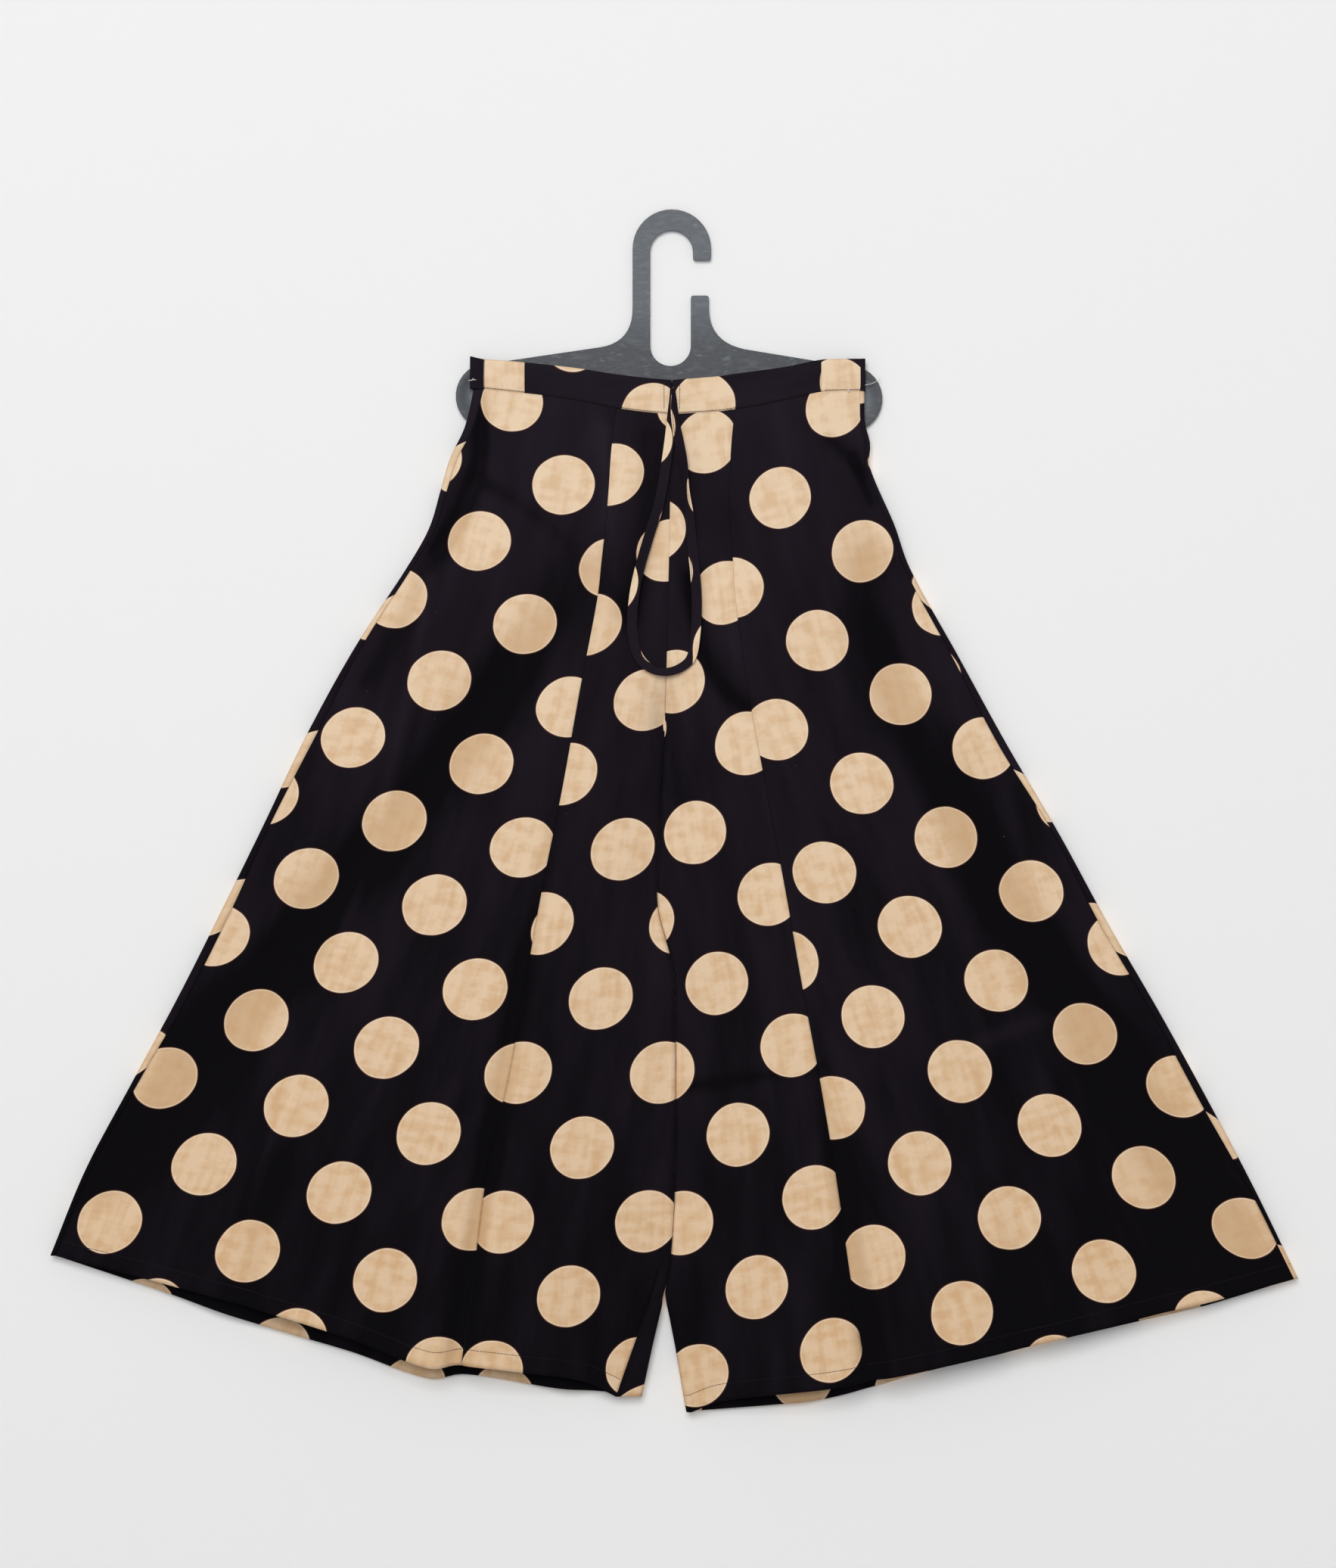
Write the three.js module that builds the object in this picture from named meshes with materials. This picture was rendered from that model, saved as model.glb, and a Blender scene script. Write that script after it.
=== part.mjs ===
import * as THREE from 'three';

// Wide palazzo pants with a drawstring, hung in front of a flat plastic hanger.
// Millimetres, +Z up, the front faces -Y. The origin is the top of the slot in the hanger's hook, where the
// hook hangs. Depth here is the distance forward of the middle of the hanger, so y = -depth.

const clothThickness = 1.5;
const bandThickness = 2.4;        // folded band with its seam allowance
const seamGap = 0.3;
const slitWidth = 2.4;            // front opening of the waistband
const bandSeam = 139.5;           // the back band comes round to here, from the middle of the front
const backDepth = 3;              // middle of the back cloth, just clear of the hanger
const sideDepth = 9;              // middle of the front cloth at the side seams
const panelSeamAcross = 0.62;     // place of the panel seam between side seam and centre
const leastLip = 0.5;             // of a turned edge past its turn
const crotch = { from: 0.315, to: 0.375 };   // fractions down the leg where the inner edges turn

const tapeWidth = 9.5;
const tapeThickness = 1.8;

const hangerThickness = 3;
const hangerEdge = 0.4;           // rounding of the plate's edges

const cottonBlack = 0x26232a;
const plasticGrey = 0x5f646b;

const table = (columns, rows) => rows.map(
  (row) => Object.fromEntries(columns.map((column, place) => [column, row[place]])),
);

// Legs: a row for each level, as fractions down from the waist seam to the hem. side is the outline, seam the
// panel seam, seamDepth and innerDepth the front cloth there and at the centre, sideTurn and innerTurn how far
// the back panels come round to the front.
const sectionColumns = ['down', 'side', 'seam', 'seamDepth', 'innerDepth', 'sideTurn', 'innerTurn'];
const leftSections = table(sectionColumns, [
  [0, -188, -53, 16, 17, 9, 4],
  [0.05, -196, -58, 17, 17.5, 8, 4],
  [0.1, -213, -61, 18.5, 18, 6, 4],
  [0.2, -247, -71, 21, 18, 5, 4],
  [0.3, -301, -88, 23, 16, 6, 4],
  [0.4, -346, -104, 25, 13, 9, 4],
  [0.5, -385, -122, 27, 12, 6, 4],
  [0.6, -425, -138, 30, 13, 9, 4],
  [0.7, -466, -154, 32, 14, 9, 4],
  [0.8, -510, -174, 34, 14, 6, 4],
  [0.9, -553.5, -186, 36, 12, 5, 12],
  [1, -587, -198, 38, 12, 5, 22],
]);
const rightSections = table(sectionColumns, [
  [0, 181, 58, 16, 17, 4, 4],
  [0.05, 184, 54, 17, 17.5, 4, 4],
  [0.1, 189, 53, 18.5, 18, 4, 4],
  [0.2, 222, 59, 21, 18, 5, 4],
  [0.3, 270, 72, 23, 16, 6, 4],
  [0.4, 316, 89, 25, 12, 8, 4],
  [0.5, 365, 106, 27, 10, 5, 4],
  [0.6, 410.5, 122, 30, 9, 8, 4],
  [0.7, 459, 139, 32, 9, 7, 4],
  [0.8, 505, 154, 34, 9, 8, 4],
  [0.9, 549, 167, 36, 10, 5, 4],
  [1, 589.5, 182, 38, 11, 4, 4],
]);

// Heights of the band's top, the waist seam and the front hem, and how far the back hem hangs below the front
// one, from the side (0) across to the centre (1)
const edgeColumns = ['across', 'top', 'waist', 'hem', 'drop'];
const leftEdges = table(edgeColumns, [
  [0, -121, -154, -966, 0],
  [0.15, -123, -155, -988, 9],
  [0.31, -127, -157.5, -1014, 17],
  [0.45, -132, -162, -1040, 17],
  [0.57, -136, -167, -1067.5, 15],
  [0.62, -137.5, -169, -1065.5, 12.5],
  [0.8, -140.5, -172.5, -1074, 15.5],
  [0.916, -142, -174, -1082, 12],
  [1, -143, -175, -1098, 0],
]);
const rightEdges = table(edgeColumns, [
  [0, -122, -152, -988, 0],
  [0.12, -122.5, -152.5, -1008, 4],
  [0.2, -123.5, -153.5, -1019, 5.5],
  [0.36, -130, -160.5, -1044.5, 4.5],
  [0.54, -135, -168, -1070.5, 6.5],
  [0.62, -137, -170, -1080.6, 11],
  [0.7, -139, -172, -1087, 13.5],
  [0.826, -140.7, -173.3, -1094, 13],
  [0.94, -142.2, -174.4, -1102, 9],
  [1, -143, -175, -1113, 0],
]);

// The line where the legs meet, and how far each leg's inner edge parts from it above the hem
const centreLine = table(['height', 'x', 'leftParting', 'rightParting'], [
  [-1120, -3, 31, 17],
  [-1100, -3, 27, 12],
  [-1055, -3, 19, 3],
  [-1008, -3, 10, 0],
  [-960, -2, 0, 0],
  [-890, 2, 0, 0],
  [-730, 2, 0, 0],
  [-690, -1, 0, 0],
  [-640, -14, 0, 0],
  [-596, -14, 0, 0],
  [-450, -7, 0, 0],
  [-175, -1, 0, 0],
]);

// Folds: troughs (negative depth) along a curve through three points
const foldColumns = ['x1', 'z1', 'x2', 'z2', 'x3', 'z3', 'halfWidth', 'depth', 'endDepth'];
const frontFolds = table(foldColumns, [
  [-84, -327, -262, -560, -537, -890, 28, -5, -9],
  [-87, -449, -146, -728, -207, -1085, 11, -1, -9],
  [-14, -198, -26, -280, -43, -360, 15, -3, -5],
  [-187, -235, -232, -330, -286, -426, 12, -3, -3],
  [-364, -800, -384, -890, -400, -1010, 16, -1, -4],
  [185, -316, 251, -522, 546, -979, 26, -5, -8],
  [133, -740, 156, -890, 190, -1095, 11, -1, -8],
  [20, -330, 34, -400, 68, -450, 14, -4, -3],
  [300, -900, 318, -980, 330, -1060, 18, -1, -5],
]);
const backFolds = table(foldColumns, [
  [-60, -300, -190, -600, -420, -1000, 30, 3, 8],
  [-40, -560, -80, -800, -100, -1090, 22, 2, 7],
  [60, -300, 230, -640, 470, -980, 30, 3, 8],
  [45, -560, 90, -800, 120, -1090, 22, 2, 7],
]);

// The tape's middle: out of the slit, down the left, round and up the right, back to the slit. It starts
// straight down, which lays its width along X.
const tapeRoute = [
  [-1, -20.3, -150],
  [-1, -19.9, -169],
  [-4, -19.4, -205],
  [-12, -19.5, -255],
  [-22, -19.3, -288],
  [-31, -19.4, -319],
  [-36.5, -20.2, -347],
  [-38, -21.9, -376],
  [-33, -22.7, -401],
  [-21, -22.1, -413.5],
  [-6.8, -21.4, -417],
  [7.5, -21.3, -412.8],
  [17.4, -21.2, -403],
  [21, -20.8, -383],
  [22.4, -20.3, -354],
  [21, -20.6, -326],
  [17.4, -21.2, -290],
  [14.6, -21.4, -255],
  [11, -21.8, -226],
  [6, -22.3, -202],
  [1.8, -22.6, -177],
  [0.4, -22.8, -151],
];

// A smooth curve through the rows of a table, read at one place
function read(rows, column, place) {
  const by = Object.keys(rows[0])[0];
  const last = rows.length - 1;
  const clamped = THREE.MathUtils.clamp(place, rows[0][by], rows[last][by]);
  const start = Math.min(Math.max(rows.findIndex((row) => row[by] > clamped), 1), last) - 1;
  const from = clamped === rows[last][by] ? last - 1 : start;
  const slope = (row) => {
    const before = rows[Math.max(row - 1, 0)];
    const after = rows[Math.min(row + 1, last)];
    return (after[column] - before[column]) / (after[by] - before[by]);
  };
  const span = rows[from + 1][by] - rows[from][by];
  const u = (clamped - rows[from][by]) / span;
  const [a, b] = [rows[from][column], rows[from + 1][column]];
  return a * (1 + 2 * u) * (1 - u) ** 2 + b * u * u * (3 - 2 * u)
    + span * u * (1 - u) * (slope(from) * (1 - u) - slope(from + 1) * u);
}

function withCurves(folds) {
  return folds.map((fold) => {
    const ends = [[fold.x1, fold.z1], [fold.x2, fold.z2], [fold.x3, fold.z3]];
    const curve = new THREE.SplineCurve(ends.map(([x, z]) => new THREE.Vector2(x, z)));
    return { ...fold, points: curve.getPoints(24) };
  });
}

function foldDepth(folds, x, z) {
  const here = new THREE.Vector2(x, z);
  let depth = 0;
  for (const fold of folds) {
    let nearest = Infinity;
    let progress = 0;
    fold.points.forEach((point, place) => {
      const distance = point.distanceTo(here);
      if (distance < nearest) {
        nearest = distance;
        progress = place / (fold.points.length - 1);
      }
    });
    const full = THREE.MathUtils.lerp(fold.depth, fold.endDepth, progress);
    depth += full * Math.exp(-((nearest / fold.halfWidth) ** 2));
  }
  return depth;
}

const frontCurves = withCurves(frontFolds);
const backCurves = withCurves(backFolds);
const { lerp, smoothstep } = THREE.MathUtils;

const turnRadius = (frontDepth) => (frontDepth - backDepth) / 2;
const turned = (down) => smoothstep(down, crotch.from, crotch.to);

// Everything about a leg at one level
function level(leg, down) {
  const at = (column) => read(leg.sections, column, down);
  const innerHeight = height(leg, 1, down);
  const parting = read(centreLine, leg.parting, innerHeight);
  const clear = lerp(seamGap / 2, clothThickness / 2 + seamGap, turned(down));
  return {
    down,
    side: at('side') - leg.outward * clothThickness / 2,
    seam: at('seam'),
    inner: read(centreLine, 'x', innerHeight) + leg.outward * (parting + clear),
    seamDepth: at('seamDepth'),
    innerDepth: at('innerDepth'),
    sideTurn: Math.max(at('sideTurn'), turnRadius(sideDepth) + leastLip),
    innerTurn: Math.max(at('innerTurn'), turnRadius(at('innerDepth')) + leastLip) * turned(down),
  };
}

function height(leg, across, down) {
  return lerp(read(leg.edges, 'waist', across), read(leg.edges, 'hem', across), down);
}

function frontDepthAt(now, across) {
  if (across <= panelSeamAcross) {
    return lerp(sideDepth, now.seamDepth, Math.sin((Math.PI / 2) * (across / panelSeamAcross)));
  }
  const inward = (across - panelSeamAcross) / (1 - panelSeamAcross);
  return lerp(now.innerDepth, now.seamDepth, Math.cos((Math.PI / 2) * inward));
}

function frontPoint(leg, now, across, x) {
  const z = height(leg, across, now.down);
  const sideFade = smoothstep(across, 0, 0.14);
  const innerFade = 1 - turned(now.down) * smoothstep(across, 0.88, 1);
  const fold = foldDepth(frontCurves, x, z) * sideFade * innerFade * smoothstep(now.down, 0, 0.05);
  return new THREE.Vector3(x, -(frontDepthAt(now, across) + fold), z);
}

function backPoint(leg, now, across, x, depth = backDepth) {
  const drop = read(leg.edges, 'drop', across) * now.down ** 2;
  const z = height(leg, across, now.down) - drop;
  const fade = smoothstep(across, 0, 0.16) * (1 - smoothstep(across, 0.84, 1)) * smoothstep(now.down, 0, 0.1);
  return new THREE.Vector3(x, -(depth + foldDepth(backCurves, x, z) * fade), z);
}

// The turn of a back panel round the edge of the leg, to the seam on the front: x and depth of its points
function turnPoints(edge, inward, frontDepth, reach, steps = 4) {
  const radius = turnRadius(frontDepth);
  const points = [];
  for (let step = 0; step <= steps; step += 1) {
    const angle = -Math.PI / 2 + Math.PI * (step / steps);
    const x = edge + inward * radius * (1 - Math.cos(angle));
    points.push({ x, depth: backDepth + radius * (1 + Math.sin(angle)) });
  }
  points.push({ x: edge + inward * reach, depth: frontDepth });
  return points;
}

const spread = (count, power = 1) => Array.from({ length: count + 1 }, (_, i) => 1 - (1 - i / count) ** power);
const shares = {
  frontSide: spread(13, 1.3),     // closer together beside the panel seam
  frontCentre: spread(8),
  backSide: spread(7),
  backCentre: spread(5),
};

function frontSideRow(leg, down) {
  const now = level(leg, down);
  const start = now.side - leg.outward * (now.sideTurn + seamGap);
  const end = now.seam + leg.outward * seamGap / 2;
  return shares.frontSide.map((s) => frontPoint(leg, now, panelSeamAcross * s, lerp(start, end, s)));
}

function frontCentreRow(leg, down) {
  const now = level(leg, down);
  const start = now.seam - leg.outward * seamGap / 2;
  const end = now.inner + leg.outward * (now.innerTurn + turned(down) * seamGap);
  return shares.frontCentre.map(
    (s) => frontPoint(leg, now, lerp(panelSeamAcross, 1, s), lerp(start, end, s)),
  );
}

function backSideRow(leg, down) {
  const now = level(leg, down);
  const turn = turnPoints(now.side, -leg.outward, sideDepth, now.sideTurn);
  const start = now.seam + leg.outward * seamGap / 2;
  const flat = shares.backSide.slice(0, -1).map(
    (s) => backPoint(leg, now, panelSeamAcross * (1 - s), lerp(start, turn[0].x, s)),
  );
  return [...flat, ...turn.map((p) => backPoint(leg, now, 0, p.x, p.depth))];
}

// The inner edge lies flat above the crotch, where the two legs join, and is turned to the front below it
function backCentreRow(leg, down) {
  const now = level(leg, down);
  const start = now.seam - leg.outward * seamGap / 2;
  const rolled = turned(down);
  const turn = turnPoints(now.inner, leg.outward, now.innerDepth, rolled > 0 ? now.innerTurn / rolled : 0);
  const flatInsets = [8, 3, 1, 0.6, 0.3, 0];
  const edge = turn.map((p, place) => {
    const inset = flatInsets[place];
    const flatAcross = 1 - (1 - panelSeamAcross) * (inset / Math.abs(start - now.inner));
    return {
      x: lerp(now.inner + leg.outward * inset, p.x, rolled),
      depth: lerp(backDepth, p.depth, rolled),
      across: lerp(flatAcross, 1, rolled),
    };
  });
  const flat = shares.backCentre.slice(0, -1).map(
    (s) => backPoint(leg, now, lerp(panelSeamAcross, edge[0].across, s), lerp(start, edge[0].x, s)),
  );
  return [...flat, ...edge.map((p) => backPoint(leg, now, p.across, p.x, p.depth))];
}

// A closed wall round a grid of middle points. Its ends along a row are cut square to the front, so two panels
// keep their gap at a seam.
function wall(rows, thickness) {
  const [rowCount, columnCount] = [rows.length, rows[0].length];
  const clampTo = (value, count) => Math.min(Math.max(value, 0), count - 1);
  const point = (r, c) => rows[clampTo(r, rowCount)][clampTo(c, columnCount)];
  const faces = { front: [], back: [] };
  for (let r = 0; r < rowCount; r += 1) {
    for (let c = 0; c < columnCount; c += 1) {
      const alongRow = point(r, c + 1).clone().sub(point(r, c - 1));
      const downColumn = point(r + 1, c).clone().sub(point(r - 1, c));
      const normal = alongRow.cross(downColumn).normalize();
      const atEnd = c === 0 || c === columnCount - 1;
      if (atEnd && Math.abs(normal.y) > 0.5) normal.setX(0).normalize();
      normal.multiplyScalar(thickness / 2);
      faces.front.push(point(r, c).clone().add(normal));
      faces.back.push(point(r, c).clone().sub(normal));
    }
  }
  const half = rowCount * columnCount;
  const index = (r, c) => r * columnCount + c;
  const triangles = [];
  const quad = (a, b, c, d) => triangles.push(a, b, c, a, c, d);
  for (let r = 0; r < rowCount - 1; r += 1) {
    for (let c = 0; c < columnCount - 1; c += 1) {
      const [a, b, d, e] = [index(r, c), index(r, c + 1), index(r + 1, c + 1), index(r + 1, c)];
      quad(a, b, d, e);
      quad(half + a, half + e, half + d, half + b);
    }
  }
  const rim = [];
  for (let c = 0; c < columnCount - 1; c += 1) rim.push(index(0, c));
  for (let r = 0; r < rowCount - 1; r += 1) rim.push(index(r, columnCount - 1));
  for (let c = columnCount - 1; c > 0; c -= 1) rim.push(index(rowCount - 1, c));
  for (let r = rowCount - 1; r > 0; r -= 1) rim.push(index(r, 0));
  rim.forEach((a, place) => {
    const b = rim[(place + 1) % rim.length];
    quad(b, a, half + a, half + b);
  });
  const geometry = new THREE.BufferGeometry();
  geometry.setFromPoints([...faces.front, ...faces.back]);
  geometry.setIndex(triangles);
  geometry.computeVertexNormals();
  return geometry;
}

const leftLeg = { outward: -1, sections: leftSections, edges: leftEdges, parting: 'leftParting' };
const rightLeg = { outward: 1, sections: rightSections, edges: rightEdges, parting: 'rightParting' };

const legRows = 22;
const panelRows = (makeRow, leg) => spread(legRows).map((down) => makeRow(leg, down));

// Waistband: its points stand over those of the panels
const bandRise = [0, 0.5, 1];

function acrossBoth(side, centre) {
  return [
    ...side.map((s) => panelSeamAcross * s),
    ...centre.slice(1).map((s) => lerp(panelSeamAcross, 1, s)),
  ];
}

function bandPoint(leg, across, x, depth, rise, topDrop = 0) {
  const low = read(leg.edges, 'waist', across) + seamGap;
  const high = read(leg.edges, 'top', across) - topDrop;
  return new THREE.Vector3(x, -depth, lerp(low, high, rise));
}

function bandX(now, across, sideX, centreX) {
  if (across < panelSeamAcross) return lerp(sideX, now.seam, across / panelSeamAcross);
  return lerp(now.seam, centreX, (across - panelSeamAcross) / (1 - panelSeamAcross));
}

// The front panels' places, parted at the seam between the back band and a front band
function frontBandPlaces(leg, now, sideX) {
  const all = acrossBoth(shares.frontSide, shares.frontCentre);
  const seamAt = (x) => panelSeamAcross * (leg.outward * x - sideX) / (now.seam - sideX);
  const [outer, inner] = [seamAt(bandSeam + seamGap / 2), seamAt(bandSeam - seamGap / 2)];
  const clear = 0.01;
  return {
    onFront: [inner, ...all.filter((across) => across > inner + clear)],
    onBackBand: [outer, ...all.filter((across) => across < outer - clear).reverse()],
  };
}

function frontBandRows(leg) {
  const now = level(leg, 0);
  const sideX = now.side - leg.outward * (now.sideTurn + seamGap);
  const centreX = now.inner + leg.outward * slitWidth / 2;
  const places = frontBandPlaces(leg, now, sideX).onFront;
  return bandRise.map((rise) => places.map((across) => bandPoint(
    leg, across, bandX(now, across, sideX, centreX), frontDepthAt(now, across), rise,
  )));
}

// The back band. It comes round to the front at both sides, and its back lies a little lower.
function backBandRows() {
  const topDrop = 1.5;
  const places = acrossBoth(shares.backSide, shares.backCentre).slice(1);
  const halfRow = (leg, rise) => {
    const now = level(leg, 0);
    const sideX = now.side - leg.outward * (now.sideTurn + seamGap);
    const front = frontBandPlaces(leg, now, sideX).onBackBand.map((across) => bandPoint(
      leg, across, bandX(now, across, sideX, 0), frontDepthAt(now, across), rise,
    ));
    const turn = turnPoints(now.side, -leg.outward, sideDepth, now.sideTurn).slice(0, -1).reverse();
    const centreX = now.inner - leg.outward * seamGap / 2;
    const edge = turn.map((p) => bandPoint(leg, 0, p.x, p.depth, rise, topDrop * (1 - p.depth / sideDepth)));
    const flat = places.map((across) => bandPoint(
      leg, across, bandX(now, across, turn.at(-1).x, centreX), backDepth, rise, topDrop,
    ));
    return [...front, ...edge, ...flat];
  };
  return bandRise.map((rise) => [...halfRow(leftLeg, rise), ...halfRow(rightLeg, rise).slice(0, -1).reverse()]);
}

// Drawstring: a flat tape
function tapeGeometry() {
  const steps = 48;
  const chamfer = tapeThickness / 4;
  const [halfWidth, halfThickness] = [tapeWidth / 2, tapeThickness / 2];
  const corners = [
    [halfWidth, halfThickness - chamfer], [halfWidth - chamfer, halfThickness],
    [chamfer - halfWidth, halfThickness], [-halfWidth, halfThickness - chamfer],
    [-halfWidth, chamfer - halfThickness], [chamfer - halfWidth, -halfThickness],
    [halfWidth - chamfer, -halfThickness], [halfWidth, chamfer - halfThickness],
  ];
  const section = new THREE.Shape(corners.map(([x, y]) => new THREE.Vector2(x, y)));
  const route = new THREE.CatmullRomCurve3(tapeRoute.map((point) => new THREE.Vector3(...point)));
  return new THREE.ExtrudeGeometry(section, { steps, extrudePath: route, bevelEnabled: false });
}

// Hanger: one flat plate. x is to the right and y up from the top of the slot.
function hangerGeometry() {
  const hook = { x: -1, radius: 37, slotX: -1.25, slotRadius: 20.25, rise: 20 };
  const tip = { bottom: -28.3, inner: 19 };
  const post = { top: -61.3, inner: 17, outer: 34 };
  const slotEnd = { x: -2.25, radius: 19.25, y: -108.5 };
  const neck = { top: -73, bottom: -110, reach: 30 };
  const leftDisc = { x: -173.6, y: -156 };
  const rightDisc = { x: 166.4, y: -158.6 };
  const disc = { radius: 31.3, top: 1.45, bottom: -0.82 };   // angles where the arm's edges meet it
  const bar = { bottom: -160, curve: 22 };
  const corner = 3;                 // rounding of the hook's tip and of the post's top

  const onDisc = (centre, angle) => [
    centre.x + disc.radius * Math.cos(angle), centre.y + disc.radius * Math.sin(angle),
  ];
  const plate = new THREE.Shape();
  const hookY = hook.rise - hook.radius;
  const hookLeft = hook.x - hook.radius;
  const hookRight = hook.x + hook.radius;
  plate.moveTo(tip.inner, tip.bottom + corner);
  plate.quadraticCurveTo(tip.inner, tip.bottom, tip.inner + corner, tip.bottom);
  plate.lineTo(hookRight - corner, tip.bottom);
  plate.quadraticCurveTo(hookRight, tip.bottom, hookRight, tip.bottom + corner);
  plate.absarc(hook.x, hookY, hook.radius, 0, Math.PI, false);
  plate.lineTo(hookLeft, neck.top);
  plate.quadraticCurveTo(hookLeft, neck.bottom + 5, hookLeft - neck.reach, neck.bottom);
  plate.lineTo(...onDisc(leftDisc, disc.top));
  plate.absarc(leftDisc.x, leftDisc.y, disc.radius, disc.top, 2 * Math.PI + disc.bottom, false);
  const [barLeft, barRight] = [leftDisc.x + disc.radius, rightDisc.x - disc.radius];
  plate.quadraticCurveTo(barLeft + 8, bar.bottom - 2, barLeft + bar.curve, bar.bottom);
  plate.lineTo(barRight - bar.curve, bar.bottom);
  const rightLow = onDisc(rightDisc, Math.PI - disc.bottom);
  plate.quadraticCurveTo(barRight - 8, bar.bottom - 2, ...rightLow);
  plate.absarc(rightDisc.x, rightDisc.y, disc.radius, Math.PI - disc.bottom, 3 * Math.PI - disc.top, false);
  plate.lineTo(post.outer + neck.reach + 4, neck.bottom - 2);
  plate.quadraticCurveTo(post.outer, neck.bottom + 5, post.outer, neck.top);
  plate.lineTo(post.outer, post.top - corner);
  plate.quadraticCurveTo(post.outer, post.top, post.outer - corner, post.top);
  plate.lineTo(post.inner + corner, post.top);
  plate.quadraticCurveTo(post.inner, post.top, post.inner, post.top - corner);
  plate.lineTo(post.inner, slotEnd.y);
  plate.absarc(slotEnd.x, slotEnd.y, slotEnd.radius, 0, -Math.PI, true);
  plate.lineTo(hook.slotX - hook.slotRadius, -hook.slotRadius);
  plate.absarc(hook.slotX, -hook.slotRadius, hook.slotRadius, Math.PI, 0, true);
  plate.lineTo(tip.inner, tip.bottom + corner);

  const geometry = new THREE.ExtrudeGeometry(plate, {
    depth: hangerThickness - 2 * hangerEdge,
    bevelThickness: hangerEdge,
    bevelSize: hangerEdge,
    bevelOffset: -hangerEdge,
    bevelSegments: 1,
    curveSegments: 10,
  });
  geometry.translate(0, 0, hangerEdge - hangerThickness / 2);
  geometry.rotateX(Math.PI / 2);
  return geometry;
}

const garment = new THREE.Group();

function add(name, geometry, colour, roughness) {
  const material = new THREE.MeshStandardMaterial({ color: colour, roughness, metalness: 0 });
  const mesh = new THREE.Mesh(geometry, material);
  mesh.name = name;
  garment.add(mesh);
}

const addCloth = (name, rows, thickness) => add(name, wall(rows, thickness), cottonBlack, 0.85);

for (const [side, leg] of Object.entries({ left: leftLeg, right: rightLeg })) {
  addCloth(`waistband_front_${side}`, frontBandRows(leg), bandThickness);
  addCloth(`front_side_${side}`, panelRows(frontSideRow, leg), clothThickness);
  addCloth(`front_centre_${side}`, panelRows(frontCentreRow, leg), clothThickness);
  addCloth(`back_side_${side}`, panelRows(backSideRow, leg), clothThickness);
  addCloth(`back_centre_${side}`, panelRows(backCentreRow, leg), clothThickness);
}
addCloth('waistband_back', backBandRows(), bandThickness);
add('drawstring', tapeGeometry(), cottonBlack, 0.85);
add('hanger', hangerGeometry(), plasticGrey, 0.5);

export default garment;
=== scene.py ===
import math

import bmesh
import bpy
import numpy as np
from mathutils import Matrix, Vector


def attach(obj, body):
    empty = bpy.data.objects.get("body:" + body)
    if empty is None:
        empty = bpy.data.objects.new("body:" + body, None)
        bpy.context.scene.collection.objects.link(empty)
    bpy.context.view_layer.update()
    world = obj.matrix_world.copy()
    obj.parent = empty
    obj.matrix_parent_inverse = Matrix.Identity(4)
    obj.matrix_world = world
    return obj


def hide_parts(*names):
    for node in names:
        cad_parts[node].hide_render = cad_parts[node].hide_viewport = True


mm = 0.001
scene = bpy.context.scene

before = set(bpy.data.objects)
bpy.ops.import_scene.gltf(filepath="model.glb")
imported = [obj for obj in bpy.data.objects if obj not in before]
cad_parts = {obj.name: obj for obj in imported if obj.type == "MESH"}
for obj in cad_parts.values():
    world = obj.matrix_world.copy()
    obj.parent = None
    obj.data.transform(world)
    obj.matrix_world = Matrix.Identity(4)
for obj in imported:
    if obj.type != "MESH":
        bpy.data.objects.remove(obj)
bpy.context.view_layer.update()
print("frame loaded:", len(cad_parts), "nodes")


def addObject(title, data):
    made = bpy.data.objects.new(title, data)
    scene.collection.objects.link(made)
    return made


def meshOf(title, bm):
    mesh = bpy.data.meshes.new(title)
    bm.to_mesh(mesh)
    bm.free()
    return mesh


# Camera, level and straight on, with the garment's front plane filling the picture's height
view = {"x": -4.6, "z": -522, "distance": 3500, "frontPlane": 15, "height": 1473, "sensor": 36}
camera = addObject("camera", bpy.data.cameras.new("camera"))
camera.data.sensor_width = view["sensor"]
camera.data.lens = view["sensor"] * view["distance"] / view["height"]
camera.location = (view["x"] * mm, -(view["distance"] + view["frontPlane"]) * mm, view["z"] * mm)
camera.rotation_euler = (math.pi / 2, 0, 0)
scene.camera = camera
scene.view_settings.view_transform = "Standard"


# Colours and nodes. A node is added with its settings, values and links, and gives its outputs.

def linearColour(hexCode):
    channels = [int(hexCode[place:place + 2], 16) / 255 for place in (1, 3, 5)]
    return [c / 12.92 if c <= 0.04045 else ((c + 0.055) / 1.055) ** 2.4 for c in channels] + [1]


def addNode(tree, kind, settings=None, values=None, links=None):
    node = tree.nodes.new("ShaderNode" + kind)
    for name, value in (settings or {}).items():
        setattr(node, name, value)
    for name, value in (values or {}).items():
        node.inputs[name].default_value = value
    for name, source in (links or {}).items():
        tree.links.new(source, node.inputs[name])
    return node.outputs


rangeNames = ("From Min", "From Max", "To Min", "To Max")


def newMaterial(name, values):
    material = bpy.data.materials.new(name)
    material.use_nodes = True
    shader = material.node_tree.nodes["Principled BSDF"]
    for socket, value in values.items():
        shader.inputs[socket].default_value = value
    return material, material.node_tree, shader


# A wave texture of scale 1 repeats after this many metres
wavePeriod = 0.314


# Reading the tables below: rows of named values, and a smooth curve through the rows

def rowsOf(names, rows):
    return [dict(zip(names, row)) for row in rows]


def columnsOf(names, rows):
    return {name: np.array(values, float) for name, values in zip(names, zip(*rows))}


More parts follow.
